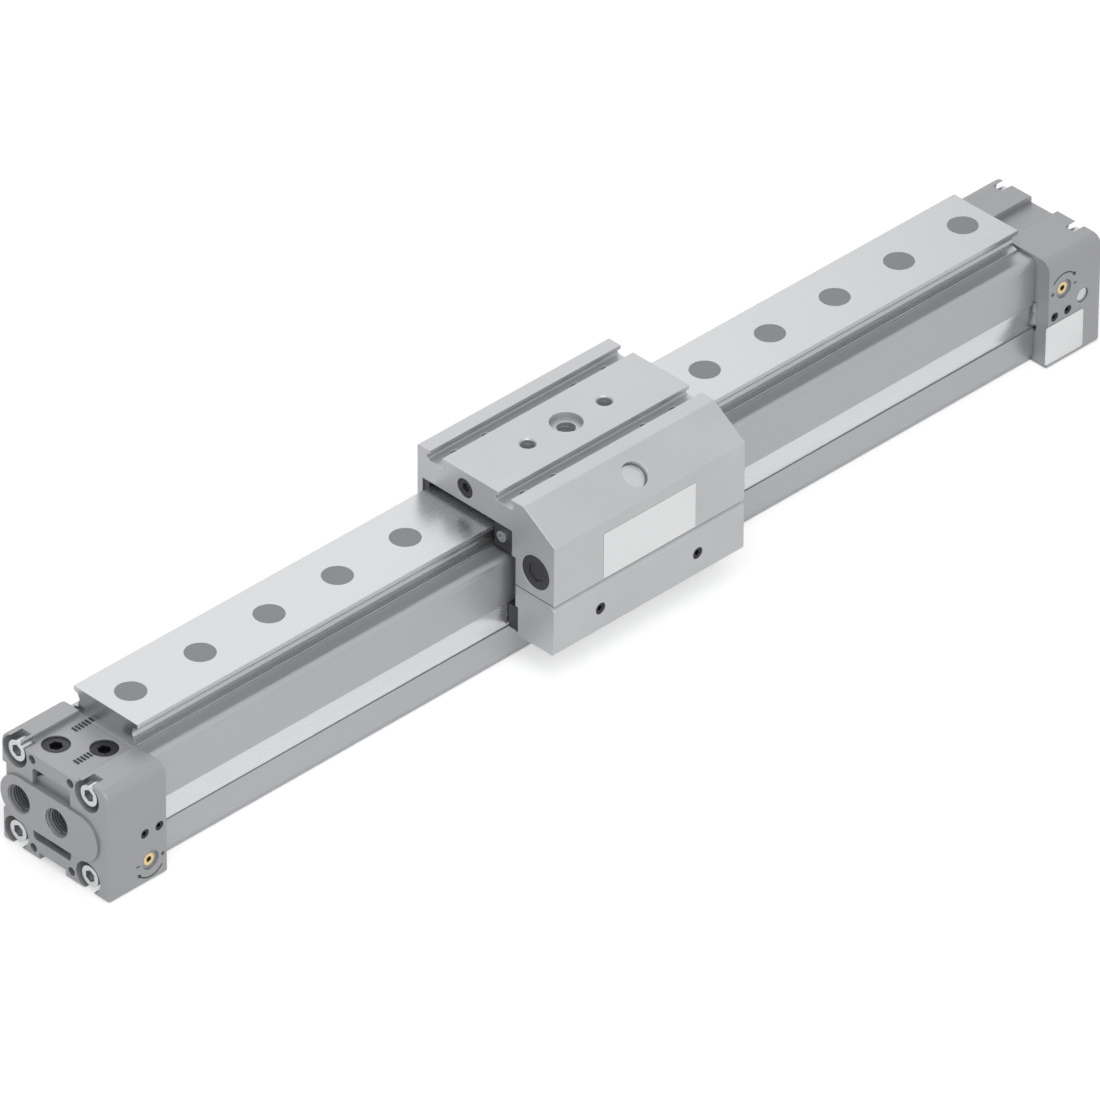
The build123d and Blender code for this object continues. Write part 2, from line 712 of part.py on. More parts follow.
# Slide plate: table, slanted shoulder and skirt in one extrusion
slant_plane = Plane(
    origin=(0, (top_near + skirt_near) / 2, (slide_top + skirt_top) / 2),
    x_dir=(1, 0, 0),
    z_dir=Vector(0, -1, 0).rotate(Axis.X, -slant),
)
with BuildPart() as slide_plate:
    with BuildSketch(across(-slide_end)) as slide_section:
        with BuildLine():
            Polyline(
                (top_near, slide_top),
                (slide_far, slide_top),
                (slide_far, slide_leg_bottom),
                (far_pocket_y, slide_leg_bottom),
                (far_pocket_y, slide_under),
                (near_pocket_y, slide_under),
                (near_pocket_y, runner_bottom),
                (skirt_inner, runner_bottom),
                (skirt_inner, skirt_bottom),
                (skirt_near, skirt_bottom),
                (skirt_near, skirt_top),
                close=True,
            )
        make_face()
        fillet(slide_section.vertices().sort_by(Axis.X)[-2:].sort_by(Axis.Y)[-1], slide_edge)
        for slot_y in tslots_y:
            block_sketch(
                (slot_y - tslot_mouth / 2, slide_top - tslot_depth / 2),
                (slot_y + tslot_mouth / 2, slide_top + 1), Mode.SUBTRACT,
            )
            inside_height = tslot_depth - tslot_lip
            with Locations((slot_y, slide_top - tslot_depth + inside_height / 2)):
                RectangleRounded(tslot_inside, inside_height, inside_height * tslot_round, mode=Mode.SUBTRACT)
    extrude(amount=slide_length)
    # Holes in the table
    with Locations((0, slide_mid_y, slide_top)):
        CounterBoreHole(pilot_thread / 2, pilot_diameter / 2, pilot_depth, pilot_depth + pilot_thread_depth)
    with Locations(*[(i * mount_hole_spacing / 2, slide_mid_y, slide_top) for i in (-1, 1)]):
        CounterSinkHole(mount_hole_diameter / 2, mount_hole_mouth / 2, mount_hole_depth, 90)
    with BuildSketch(Plane.XY.offset(slide_top - tslot_depth)):
        with Locations(*[(i * x, y) for i in (-1, 1) for x in slot_thread_x for y in tslots_y]):
            Circle(slot_thread_diameter / 2)
    extrude(amount=-slot_thread_depth, mode=Mode.SUBTRACT)
    # Holes in both end faces
    for side in (-1, 1):
        for place, diameter, depth in (
            ((lube_plug_y, lube_plug_z), lube_plug_diameter, lube_plug_thick + slide_edge),
            ((stop_y, stop_z), stop_rim, stop_rim_thick),
            ((stop_y, stop_z), stop_diameter, stop_rim_thick + stop_length),
        ):
            with BuildSketch(across(side * slide_end)):
                with Locations(place):
                    Circle(diameter / 2)
            extrude(amount=-side * depth, mode=Mode.SUBTRACT)
    # Access hole in the slanted shoulder, seat of the name plate, and threads in the skirt
    with BuildSketch(slant_plane):
        Circle(access_diameter / 2)
    extrude(amount=-access_depth, mode=Mode.SUBTRACT)
    with BuildSketch(front(skirt_near)):
        block_sketch(
            (-plate_width / 2 - band_fit, skirt_bottom - 1),
            (plate_width / 2 + band_fit, skirt_bottom + plate_edge + plate_height + band_fit),
        )
    extrude(amount=-plate_thick, mode=Mode.SUBTRACT)
    with BuildSketch(Plane.XY.offset(skirt_bottom)):
        with Locations(*[(i * block_bolt_x, block_bolt_y) for i in (-1, 1)]):
            Circle(block_bolt_diameter / 2)
    extrude(amount=block_bolt_thread + 0.5, mode=Mode.SUBTRACT)
    near_screw_y = -runner_inner - near_runner_width / 2
    with BuildSketch(Plane.XY.offset(slide_under)):
        with Locations(*[(i * runner_screw_x, near_screw_y) for i in (-1, 1)]):
            Circle(runner_screw_diameter / 2)
    extrude(amount=runner_screw_thread + 0.4, mode=Mode.SUBTRACT)
    with BuildSketch(front(slide_far)):
        with Locations(*[(i * runner_screw_x, preload_screw_z) for i in (-1, 0, 1)]):
            Circle(preload_screw_diameter / 2)
    extrude(amount=slide_far - far_pocket_y, mode=Mode.SUBTRACT)
write(slide_plate, "slide_plate")

with BuildPart() as name_plate:
    with BuildSketch(front(skirt_near + plate_thick)):
        block_sketch(
            (-plate_width / 2, skirt_bottom + plate_edge),
            (plate_width / 2, skirt_bottom + plate_edge + plate_height),
        )
    extrude(amount=plate_thick)
write(name_plate, "name_plate")

access_plug = plain_plug(
    slant_plane.offset(-access_plug_sink), access_diameter, access_depth - access_plug_sink
)
write(access_plug, "access_plug")

stop_plugs = socket_screws(
    [
        Plane(origin=(i * (slide_end - stop_rim_thick), stop_y, stop_z), z_dir=(i, 0, 0))
        for i in (-1, 1)
    ],
    stop_diameter, stop_length - 1, stop_rim - 2 * thread_gap, stop_rim_thick - 0.2
)
write(stop_plugs, "stop_plugs")

lube_plugs = socket_plugs(
    [
        Plane(origin=(i * (slide_end - slide_edge), lube_plug_y, lube_plug_z), z_dir=(i, 0, 0))
        for i in (-1, 1)
    ],
    lube_plug_diameter, lube_plug_thick, lube_plug_diameter / 2,
)
write(lube_plugs, "lube_plugs")


def runner(side_y, width, start, length):
    """A length of ball runner beside the rail: side_y -1 is the slot side, 1 the far side."""
    inner = side_y * runner_inner
    wall = side_y * (runner_inner + width)
    with BuildPart() as bar:
        with BuildSketch(across(start)):
            block_sketch((min(inner, wall), runner_bottom), (max(inner, wall), slide_under))
            with Locations((side_y * track_y, track_z)):
                Circle(ball_diameter / 2 + ball_seat, mode=Mode.SUBTRACT)
        extrude(amount=length)
    return bar


def balls(side_y):
    """One loaded row of balls between rail and runner."""
    first = -(balls_in_row - 1) * ball_pitch / 2
    with BuildPart() as row:
        with Locations(*[(first + i * ball_pitch, side_y * track_y, track_z) for i in range(balls_in_row)]):
            Sphere(ball_diameter / 2)
    return row


# Ball runners, their balls and the caps that turn the balls round
with BuildPart() as near_runner:
    add(runner(-1, near_runner_width, -runner_half, 2 * runner_half).part)
    with BuildSketch(Plane.XY.offset(runner_bottom)):
        with Locations(*[(i * runner_screw_x, near_screw_y) for i in (-1, 1)]):
            Circle(runner_screw_head / 2 + thread_gap)
    extrude(amount=runner_screw_sink, mode=Mode.SUBTRACT)
    with BuildSketch(Plane.XY.offset(runner_bottom)):
        with Locations(*[(i * runner_screw_x, near_screw_y) for i in (-1, 1)]):
            Circle(runner_screw_diameter / 2 + thread_gap)
    extrude(amount=slide_under - runner_bottom, mode=Mode.SUBTRACT)
    return_screw_z = (runner_bottom + slide_under) / 2 + 1
    for side in (-1, 1):
        with BuildSketch(across(side * runner_half)):
            with Locations((near_screw_y, return_screw_z)):
                Circle(return_screw_diameter / 2)
        extrude(amount=-side * 5, mode=Mode.SUBTRACT)
write(near_runner, "near_runner")
write(runner(1, far_runner_width, -runner_half, 2 * runner_half), "far_runner")
write(balls(-1), "near_balls")
write(balls(1), "far_balls")

return_length = runner_end - return_cap_sink
with BuildPart() as near_returns:
    for side in (-1, 1):
        start = runner_half if side > 0 else -runner_half - return_length
        add(runner(-1, near_runner_width, start, return_length).part)
        with BuildSketch(across(side * runner_half)):
            with Locations((near_screw_y, return_screw_z)):
                Circle(return_screw_diameter / 2)
        extrude(amount=side * return_length, mode=Mode.SUBTRACT)
write(near_returns, "near_return_caps")

with BuildPart() as far_returns:
    for start in (-runner_half - return_length, runner_half):
        add(runner(1, far_runner_width, start, return_length).part)
write(far_returns, "far_return_caps")

return_screws = socket_screws(
    [
        Plane(origin=(i * (runner_half + return_length), near_screw_y, return_screw_z), z_dir=(i, 0, 0))
        for i in (-1, 1)
    ],
    return_screw_diameter, return_length + 4.5, return_screw_head, return_screw_head_height,
)
write(return_screws, "return_cap_screws")

runner_screws = socket_screws(
    [
        Plane(origin=(i * runner_screw_x, near_screw_y, runner_bottom + runner_screw_sink), z_dir=(0, 0, -1))
        for i in (-1, 1)
    ],
    runner_screw_diameter, slide_under - runner_bottom - runner_screw_sink + runner_screw_thread,
    runner_screw_head, runner_screw_head_height,
)
write(runner_screws, "runner_screws")

preload_screws = socket_plugs(
    [
        Plane(origin=(i * runner_screw_x, slide_far - 0.3, preload_screw_z), z_dir=(0, 1, 0))
        for i in (-1, 0, 1)
    ],
    preload_screw_diameter, slide_far - 0.3 - far_pocket_y, preload_screw_diameter / 2,
)
write(preload_screws, "preload_screws")

# Driver block under the skirt
with BuildPart() as driver_block:
    with BuildSketch(across(-slide_end)) as block_section:
        with BuildLine():
            Polyline(
                (skirt_inner, block_bottom),
                (skirt_near, block_bottom),
                (skirt_near, skirt_bottom - block_bevel),
                (skirt_near + block_bevel, skirt_bottom),
                (skirt_inner, skirt_bottom),
                close=True,
            )
        make_face()
        fillet(block_section.vertices().group_by(Axis.Y)[0].sort_by(Axis.X)[0], block_round)
        half = cover_band_width / 2 + band_clear
        block_sketch((band_room_y, bore_z - half), (skirt_inner + 1, bore_z + half), Mode.SUBTRACT)
    extrude(amount=slide_length)
    with BuildSketch(across(-neck_length / 2 - tongue_fit)):
        block_sketch(
            (head_near - tongue_reach - tongue_fit, tongue_z - tongue_fit),
            (skirt_inner + 1, tongue_z + tongue_thick + tongue_fit),
        )
    extrude(amount=neck_length + 2 * tongue_fit, mode=Mode.SUBTRACT)
    with BuildSketch(front(skirt_near)):
        with Locations(*[(i * block_pin_x, block_pin_z) for i in (-1, 1)]):
            Circle(block_pin_diameter / 2)
    extrude(amount=-block_pin_sink - block_pin_length - 0.4, mode=Mode.SUBTRACT)
    for diameter, height in (
        (block_bolt_head + 0.5, block_bolt_sink),
        (block_bolt_diameter + 0.5, skirt_bottom - block_bottom),
    ):
        with BuildSketch(Plane.XY.offset(block_bottom)):
            with Locations(*[(i * block_bolt_x, block_bolt_y) for i in (-1, 1)]):
                Circle(diameter / 2)
        extrude(amount=height, mode=Mode.SUBTRACT)
write(driver_block, "driver_block")

block_bolts = socket_screws(
    [
        Plane(origin=(i * block_bolt_x, block_bolt_y, block_bottom + block_bolt_sink), z_dir=(0, 0, -1))
        for i in (-1, 1)
    ],
    block_bolt_diameter, skirt_bottom - block_bottom - block_bolt_sink + block_bolt_thread,
    block_bolt_head, block_bolt_head_height,
)
write(block_bolts, "block_bolts")

block_pins = socket_plugs(
    [
        Plane(origin=(i * block_pin_x, skirt_near + block_pin_sink, block_pin_z), z_dir=(0, -1, 0))
        for i in (-1, 1)
    ],
    block_pin_diameter, block_pin_length, block_pin_diameter / 2,
)
write(block_pins, "block_set_screws")

with BuildPart() as scrapers:
    for start in (-slide_end, slide_end - scraper_length):
        with BuildSketch(across(start)):
            half = cover_band_width / 2 - band_fit
            block_sketch((band_room_y, bore_z - half), (barrel_near - scraper_gap, bore_z + half))
        extrude(amount=scraper_length)
write(scrapers, "band_scrapers")

# Driver: yoke in the bore, neck in the slot, head and tongue outside
with BuildPart() as driver:
    with BuildSketch(across(-yoke_end)):
        with Locations((bore_y, bore_z)):
            Circle(piston_r)
            Rectangle(bore_diameter, 2 * yoke_half_width, mode=Mode.INTERSECT)
    extrude(amount=2 * yoke_end)
    with BuildSketch(across(-neck_length / 2)):
        half = slot_width / 2 - neck_side_gap
        block_sketch((head_near, bore_z - half), (bore_wall_y + 2, bore_z + half))
        block_sketch(
            (head_near, block_bottom + band_clear), (head_near + head_thick, tongue_z + tongue_thick)
        )
        block_sketch((head_near - tongue_reach, tongue_z), (head_near, tongue_z + tongue_thick))
    extrude(amount=neck_length)
    tunnel = band(
        inner_mid_y, inner_band_dip, inner_band_thick + 2 * band_clear, inner_band_width + 2 * band_clear
    )
    add(tunnel.part, mode=Mode.SUBTRACT)
    for side in (-1, 1):
        with BuildSketch(across(side * yoke_end)):
            with Locations((bore_y, bore_z)):
                Circle(piston_screw_diameter / 2)
        extrude(amount=-side * (piston_screw_thread + 0.5), mode=Mode.SUBTRACT)
    with BuildSketch(Plane(origin=(0, bore_y + piston_r, bore_z), z_dir=(0, 1, 0))):
        Circle(magnet_diameter / 2)
    extrude(amount=-magnet_length - 0.5, mode=Mode.SUBTRACT)
write(driver, "driver_yoke")

with BuildPart() as magnet:
    with BuildSketch(Plane(origin=(0, bore_y + piston_r - 0.5, bore_z), z_dir=(0, 1, 0))):
        Circle(magnet_diameter / 2 - thread_gap)
    extrude(amount=-magnet_length)
write(magnet, "sensor_magnet")

# Piston halves and their rings
seal_start = piston_half - ring_width - 5
wear_start = yoke_end + 2
cushion_ring_start = piston_half - seal_width - 1
band_leaves = band_hold_length / 2 + band_run_length + 1


def piston(side):
    """Piston half, screwed to one end of the yoke."""
    with BuildPart() as half_piston:
        with BuildSketch(across(side * yoke_end)):
            with Locations((bore_y, bore_z)):
                Circle(piston_r)
        extrude(amount=side * (piston_half - yoke_end))
        for start, length, outer, inner in (
            (piston_half - piston_bore_depth, piston_bore_depth, piston_bore / 2, 0),
            (seal_start, ring_width, bore_r, bore_r - ring_depth),
            (wear_start, wear_ring_width, bore_r, bore_r - wear_ring_depth),
            (cushion_ring_start, seal_width, piston_bore / 2 + seal_depth, 0),
            (yoke_end, piston_half - yoke_end - piston_bore_depth, piston_screw_diameter / 2 + 0.2, 0),
        ):
            with BuildSketch(across(side * start)):
                with Locations((bore_y, bore_z)):
                    Circle(outer)
                    if inner:
                        Circle(inner, mode=Mode.SUBTRACT)
            extrude(amount=side * length, mode=Mode.SUBTRACT)
        with BuildSketch(across(side * yoke_end)):
            reach = inner_band_width / 2 + band_clear
            block_sketch(
                (bore_wall_y - 1, bore_z - reach), (inner_groove_y + inner_band_dip * 0.62, bore_z + reach)
            )
        extrude(amount=side * (band_leaves - yoke_end), mode=Mode.SUBTRACT)
    return half_piston


def ring_pair(start, width, outer, inner, gap_to=0.0):
    """The same ring on both piston halves, open over the sealing band as far as gap_to."""
    with BuildPart() as rings:
        for side in (-1, 1):
            with BuildSketch(across(side * start)):
                with Locations((bore_y, bore_z)):
                    Circle(outer)
                    Circle(inner, mode=Mode.SUBTRACT)
                if gap_to:
                    reach = inner_band_width / 2 + band_clear
                    block_sketch((bore_wall_y - 1, bore_z - reach), (bore_y, bore_z + reach), Mode.SUBTRACT)
            extrude(amount=side * width)
    return rings


write(piston(-1), "left_piston")
write(piston(1), "right_piston")
write(ring_pair(seal_start, ring_width, bore_r - seal_side_gap, bore_r - ring_depth), "piston_seals")
write(
    ring_pair(wear_start, wear_ring_width, bore_r - seal_side_gap, bore_r - wear_ring_depth, band_leaves),
    "wear_rings",
)
write(
    ring_pair(
        cushion_ring_start, seal_width, piston_bore / 2 + seal_depth, cushion_diameter / 2 + cushion_ring_gap
    ),
    "cushion_seals",
)
piston_screws = socket_screws(
    [
        Plane(origin=(i * (piston_half - piston_bore_depth), bore_y, bore_z), z_dir=(i, 0, 0))
        for i in (-1, 1)
    ],
    piston_screw_diameter, piston_half - piston_bore_depth - yoke_end + piston_screw_thread,
    piston_screw_head, piston_screw_head_height,
)
write(piston_screws, "piston_screws")
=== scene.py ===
"""Looks of a rodless pneumatic cylinder, laid out as an add-on and run as a script."""
import json
from math import atan2, cos, pi, radians, sin, tan, tau

import bpy
from bpy.props import FloatProperty, FloatVectorProperty, PointerProperty
from mathutils import Matrix, Vector


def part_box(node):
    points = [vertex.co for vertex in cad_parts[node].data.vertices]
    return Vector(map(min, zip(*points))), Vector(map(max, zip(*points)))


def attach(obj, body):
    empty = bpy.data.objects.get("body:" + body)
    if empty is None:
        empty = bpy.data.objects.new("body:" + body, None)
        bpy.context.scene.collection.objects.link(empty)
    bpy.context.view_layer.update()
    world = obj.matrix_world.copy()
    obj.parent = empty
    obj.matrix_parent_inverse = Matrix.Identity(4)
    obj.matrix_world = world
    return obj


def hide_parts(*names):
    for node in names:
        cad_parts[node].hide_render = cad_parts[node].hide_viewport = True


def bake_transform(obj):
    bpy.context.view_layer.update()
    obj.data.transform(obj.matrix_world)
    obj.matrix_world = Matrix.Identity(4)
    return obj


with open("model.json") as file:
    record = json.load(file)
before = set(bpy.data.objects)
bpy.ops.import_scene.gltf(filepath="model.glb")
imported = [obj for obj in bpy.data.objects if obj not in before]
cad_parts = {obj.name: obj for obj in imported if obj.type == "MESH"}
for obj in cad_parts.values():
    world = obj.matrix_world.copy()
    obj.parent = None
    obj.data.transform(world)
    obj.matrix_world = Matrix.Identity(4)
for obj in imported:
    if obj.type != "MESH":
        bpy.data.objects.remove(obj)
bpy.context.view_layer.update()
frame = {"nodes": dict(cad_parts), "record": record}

bl_info = {
    "name": "Rodless cylinder looks",
    "version": (1, 0, 0),
    "blender": (4, 5, 0),
    "location": "View3D > Sidebar > Cylinder",
    "description": "Finishes, bands, threads, scales and studio for a rodless pneumatic cylinder",
    "category": "Object",
}

MM = 0.001
MOUNTS = {mount["name"]: mount for mount in frame["record"]["mounts"]}
SIDES = (("left", -1.0), ("right", 1.0))        # each cap's side and its direction along the stroke


def corners(node):
    """A node's lowest and highest corner."""
    return [Vector(corner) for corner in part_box(node)]


# Colours and sizes that a user would change

def colour(name, description, red, green, blue):
    """A colour property."""
    return FloatVectorProperty(
        name=name, description=description, subtype="COLOR", size=3, min=0.0, max=1.0,
        default=(red, green, blue),
    )


def length(name, description, metres):
    """A length property."""
    return FloatProperty(name=name, description=description, default=metres, unit="LENGTH", precision=5)


def angle(name, description, degrees):
    """An angle property."""
    return FloatProperty(name=name, description=description, default=radians(degrees), subtype="ANGLE")


def power(name, description, watts):
    """A lamp's power property."""
    return FloatProperty(name=name, description=description, default=watts, min=0.0, subtype="POWER")


def level(name, description, value):
    """A plain number property from 0 up."""
    return FloatProperty(name=name, description=description, default=value, min=0.0)


class CylinderColours(bpy.types.PropertyGroup):
    """Base colours of the finishes."""

    extrusion: colour("Extrusion", "Clear anodised barrel", 0.46, 0.47, 0.485)
    machined: colour("Machined", "Anodised slide and driver block", 0.58, 0.59, 0.605)
    casting: colour("Casting", "Painted die castings of the end caps", 0.42, 0.43, 0.445)
    rail: colour("Rail", "Ground steel of the guide rail", 0.50, 0.51, 0.52)
    strip: colour("Strip", "Stainless strip of the bands", 0.66, 0.67, 0.68)
    zinc: colour("Zinc", "Zinc plated screws", 0.58, 0.59, 0.60)
    oxide: colour("Black oxide", "Blackened screws and plugs", 0.045, 0.045, 0.05)
    brass: colour("Brass", "Cushion needles", 0.74, 0.58, 0.31)
    plastic: colour("Plastic", "Scrapers, return caps and plugs", 0.045, 0.045, 0.05)
    rail_cap: colour("Rail caps", "Plastic covers of the rail screws", 0.30, 0.305, 0.32)
    rubber: colour("Rubber", "Seals", 0.02, 0.02, 0.02)
    plate: colour("Plate", "Blank plates", 0.72, 0.725, 0.73)
    ink: colour("Ink", "Printed scales and moulded marks", 0.03, 0.03, 0.035)
    floor: colour("Floor", "Studio floor", 0.82, 0.82, 0.82)


class CylinderSizes(bpy.types.PropertyGroup):
    """Sizes of the pieces that the scene adds."""

    strip_crown: length("Strip crown", "How far the cover band's middle stands out", 0.22 * MM)
    strip_edge: length("Strip edge", "Rounding of the bands' edges", 0.3 * MM)
    ridge_sunk: length("Ridge sunk", "How deep a thread's ridge stands in the wall of its hole", 0.02 * MM)
    scale_radius: length("Scale radius", "Middle of the arc round a cushion needle", 8.3 * MM)
    scale_line: length("Scale line", "Width of the arc and its marks", 0.6 * MM)
    print_thick: length("Print thickness", "How far printed marks stand out", 0.06 * MM)
    rib_length: length("Rib length", "Length across a ribbed mark", 3.4 * MM)
    rib_width: length("Rib width", "Width of one rib", 0.9 * MM)
    rib_pitch: length("Rib pitch", "Distance between the ribs of a mark", 1.9 * MM)
    rib_height: length("Rib height", "How far the ribs stand out", 0.35 * MM)
    label_thick: length("Label thickness", "Thickness of the blank label on the right cap", 0.3 * MM)
    label_corner: length("Label corner", "Corner radius of the blank label", 1.2 * MM)


class CylinderStudio(bpy.types.PropertyGroup):
    """Camera, lamps and floor."""

    azimuth: angle("Azimuth", "Camera's turn about the vertical", -44.5)
    elevation: angle("Elevation", "Camera's height over the horizon", 35.6)
    roll: angle("Roll", "Camera's turn about its own axis", 0.3)
    distance: length("Distance", "Camera to target", 6.25)
    target_height: length("Target height", "Height of the point that the camera is set about", 0.040)
    shift_right: length("Shift right", "How far the target lies right of the picture's middle", 0.0026)
    shift_up: length("Shift up", "How far the target lies above the picture's middle", 0.0209)
    lens: FloatProperty(name="Lens", description="Focal length in millimetres", default=474.6, min=1.0)
    key_power: power("Key lamp", "Power of the main lamp", 27.0)
    fill_power: power("Fill lamp", "Power of the fill lamp", 5.0)
    back_power: power("Back lamp", "Power of the lamp behind", 9.0)
    floor_lift: level("Floor lift", "White added to the seen floor", 0.45)
    sky: level("Sky", "World light on the object", 0.30)


# Shader maths

COLOUR_INPUTS = (6, 7)      # a Mix node's two colours, whose names its other sockets share
COLOUR_OUTPUT = 2


class Term:
    """A shader socket that can be used in a sum."""

    def __init__(self, tree, socket):
        self.tree = tree
        self.socket = socket

    def combine(self, operation, *values):
        """One Math node on numbers and terms, in their order."""
        node = self.tree.nodes.new("ShaderNodeMath")
        node.operation = operation
        for socket, value in zip(node.inputs, values):
            if isinstance(value, Term):
                self.tree.links.new(value.socket, socket)
            else:
                socket.default_value = value
        return Term(self.tree, node.outputs[0])

    def __add__(self, other):
        return self.combine("ADD", self, other)

    def __radd__(self, other):
        return self.combine("ADD", other, self)

    def __sub__(self, other):
        return self.combine("SUBTRACT", self, other)

    def __rsub__(self, other):
        return self.combine("SUBTRACT", other, self)

    def __mul__(self, other):
        return self.combine("MULTIPLY", self, other)

    def __rmul__(self, other):
        return self.combine("MULTIPLY", other, self)

    def __abs__(self):
        return self.combine("ABSOLUTE", self)

    def at_least(self, other):
        """The larger of this term and another."""
        return self.combine("MAXIMUM", self, other)

    def clamped(self):
        """The term held between 0 and 1."""
        return self.combine("MINIMUM", self.at_least(0.0), 1.0)


class Finish:
    """One node material on Object coordinates."""

    def __init__(self, name):
        self.material = bpy.data.materials.new(name)
        self.material.use_nodes = True
        self.tree = self.material.node_tree
        self.shader = self.tree.nodes["Principled BSDF"]
        self.place = self.node("ShaderNodeTexCoord").outputs["Object"]

    def node(self, kind, settings=None, **inputs):
        """A node of a kind, with its settings made first and then its sockets' values or links."""
        node = self.tree.nodes.new(kind)
        for key, value in (settings or {}).items():
            setattr(node, key, value)
        for key, value in inputs.items():
            self.feed(node.inputs[key.replace("_", " ")], value)
        return node

    def feed(self, socket, value):
        """Give a socket a value, or a link where the value is a term or another socket."""
        if isinstance(value, Term):
            self.tree.links.new(value.socket, socket)
        elif isinstance(value, bpy.types.NodeSocket):
            self.tree.links.new(value, socket)
        else:
            socket.default_value = value

    def term(self, socket):
        """A socket as a term."""
        return Term(self.tree, socket)

    def stretched(self, x, y, z):
        """Object coordinates scaled along each axis."""
        mapping = self.node("ShaderNodeMapping", {"vector_type": "POINT"}, Vector=self.place, Scale=(x, y, z))
        return mapping.outputs[0]

    def noise(self, scale, detail=3.0, roughness=0.55, where=None):
        """A noise term from 0 to 1."""
        node = self.node(
            "ShaderNodeTexNoise", {"noise_dimensions": "3D"},
            Vector=where or self.place, Scale=scale, Detail=detail, Roughness=roughness,
        )
        return self.term(node.outputs["Fac"])

    def blend(self, mask, low, high):
        """A colour between two, by a mask."""
        node = self.node("ShaderNodeMix", {"data_type": "RGBA", "blend_type": "MIX"}, Factor=mask)
        for index, value in zip(COLOUR_INPUTS, (low, high)):
            self.feed(node.inputs[index], value)
        return node.outputs[COLOUR_OUTPUT]

    def rounded(self, radius):
        """The normal as if edges were rounded by a radius."""
        return self.node("ShaderNodeBevel", {"samples": EDGE_SAMPLES}, Radius=radius).outputs[0]

    def normal(self):
        """The surface's own normal."""
        return self.node("ShaderNodeNewGeometry").outputs["Normal"]

    def edge(self, radius):
        """A mask that is 1 near edges and 0 on flats."""
        product = self.node("ShaderNodeVectorMath", {"operation": "DOT_PRODUCT"})
        for socket, value in zip(product.inputs, (self.rounded(radius), self.normal())):
            self.feed(socket, value)
        return ((1.0 - self.term(product.outputs["Value"])) * EDGE_GAIN).clamped()

    def cavity(self, distance, alone):
        """An ambient-occlusion mask for painted shade, which grows in grooves and inner corners, of this
        piece alone or with its neighbours.
        """
        settings = {"samples": CAVITY_SAMPLES, "only_local": alone}
        node = self.node("ShaderNodeAmbientOcclusion", settings, Distance=distance)
        return ((1.0 - self.term(node.outputs["AO"])) * CAVITY_GAIN).clamped()

    def end_faces(self):
        """A mask that is 1 on faces that look along the stroke."""
        parts = self.node("ShaderNodeSeparateXYZ", Vector=self.normal())
        return abs(self.term(parts.outputs["X"]))

    def bump(self, height, strength, distance, radius):
        """A bump on the rounded normal, fed to the shader."""
        bump = self.node(
            "ShaderNodeBump", Strength=strength, Distance=distance, Height=height, Normal=self.rounded(radius)
        )
        self.set(Normal=bump.outputs[0])

    def set(self, **values):
        """Values or links of the shader's own sockets."""
        for key, value in values.items():
            self.feed(self.shader.inputs[key.replace("_", " ")], value)


# Finishes

EDGE_SAMPLES = 6
EDGE_SPREAD = 1.6           # how wide the brighter band at an edge is, part wear and part painted highlight, as a share of its rounding
EDGE_GAIN = 6.0
CAVITY_SAMPLES = 8
CAVITY_GAIN = 1.3
# Painted shade: ambient occlusion darkens the base colour in grooves, inner corners and joints between parts
PAINTED_SHADE_REACH = 2.2 * MM
PAINTED_SHADE_SHARE = 0.7
PAINTED_SHADE_DARKNESS = 0.30          # darkness of the painted shade in grooves, corners and joints, as a share of the base colour

LINE_DETAIL = 4.0
LINE_BREAK = 0.6            # roughness of the noise that draws the lines
LINE_SHARE = 0.65           # share of the lines in a drawn metal's tone; clouds have the rest
LINE_GLOSS = 0.16           # how far the lines move the roughness
LINE_BUMP = 0.10
LINE_HEIGHT = 0.04 * MM
LINE_CLOUDS = 24.0          # scale of the clouds on drawn metal
LINE_CLOUD_GLOSS = 0.12
LINE_WEAR_AND_HIGHLIGHT = 0.55
LINE_EDGE_WEAR_AND_HIGHLIGHT = 1.22
STRIP_LINES = (6.0, 2600.0, 2600.0)

GRAIN_DETAIL = 5.0
GRAIN_BREAK = 0.65
GRAIN_GLOSS = 0.14
GRAIN_BUMP = 0.22
GRAIN_CLOUDS = 30.0
GRAIN_CLOUD_GLOSS = 0.10
GRAIN_WEAR_AND_HIGHLIGHT = 0.5

FINISHES = {}


def shade(base, factor):
    """A colour made darker or lighter."""
    return (*[min(1.0, channel * factor) for channel in base], 1.0)


def mottled(finish, base, mask, contrast):
    """A base colour that a mask makes darker and lighter."""
    return finish.blend(mask, shade(base, 1.0 - contrast), shade(base, 1.0 + contrast))


def worn_highlit_and_shaded(finish, base, toned, edge_radius, wear_and_highlight, edge_wear_and_highlight, alone):
    """A toned colour with brighter edges, partly wear and partly painted highlight, and painted shade in its
    grooves.
    """
    # brighter edges: partly wear, partly a painted highlight that makes the edges read
    edges = finish.edge(edge_radius * EDGE_SPREAD)
    worn_and_highlit = finish.blend(edges * wear_and_highlight, toned, shade(base, edge_wear_and_highlight))
    # painted shade: ambient occlusion darkens the colour in grooves, inner corners and, with neighbours, the
    # joints between parts
    painted_shade = finish.cavity(PAINTED_SHADE_REACH, alone) * PAINTED_SHADE_SHARE
    return finish.blend(painted_shade, worn_and_highlit, shade(base, PAINTED_SHADE_DARKNESS))


def varied(middle, *waves):
    """A roughness that noises move up and down, each by its own share."""
    rough = middle
    for noise, share in waves:
        rough = (noise - 0.5) * share + rough
    return rough.clamped()


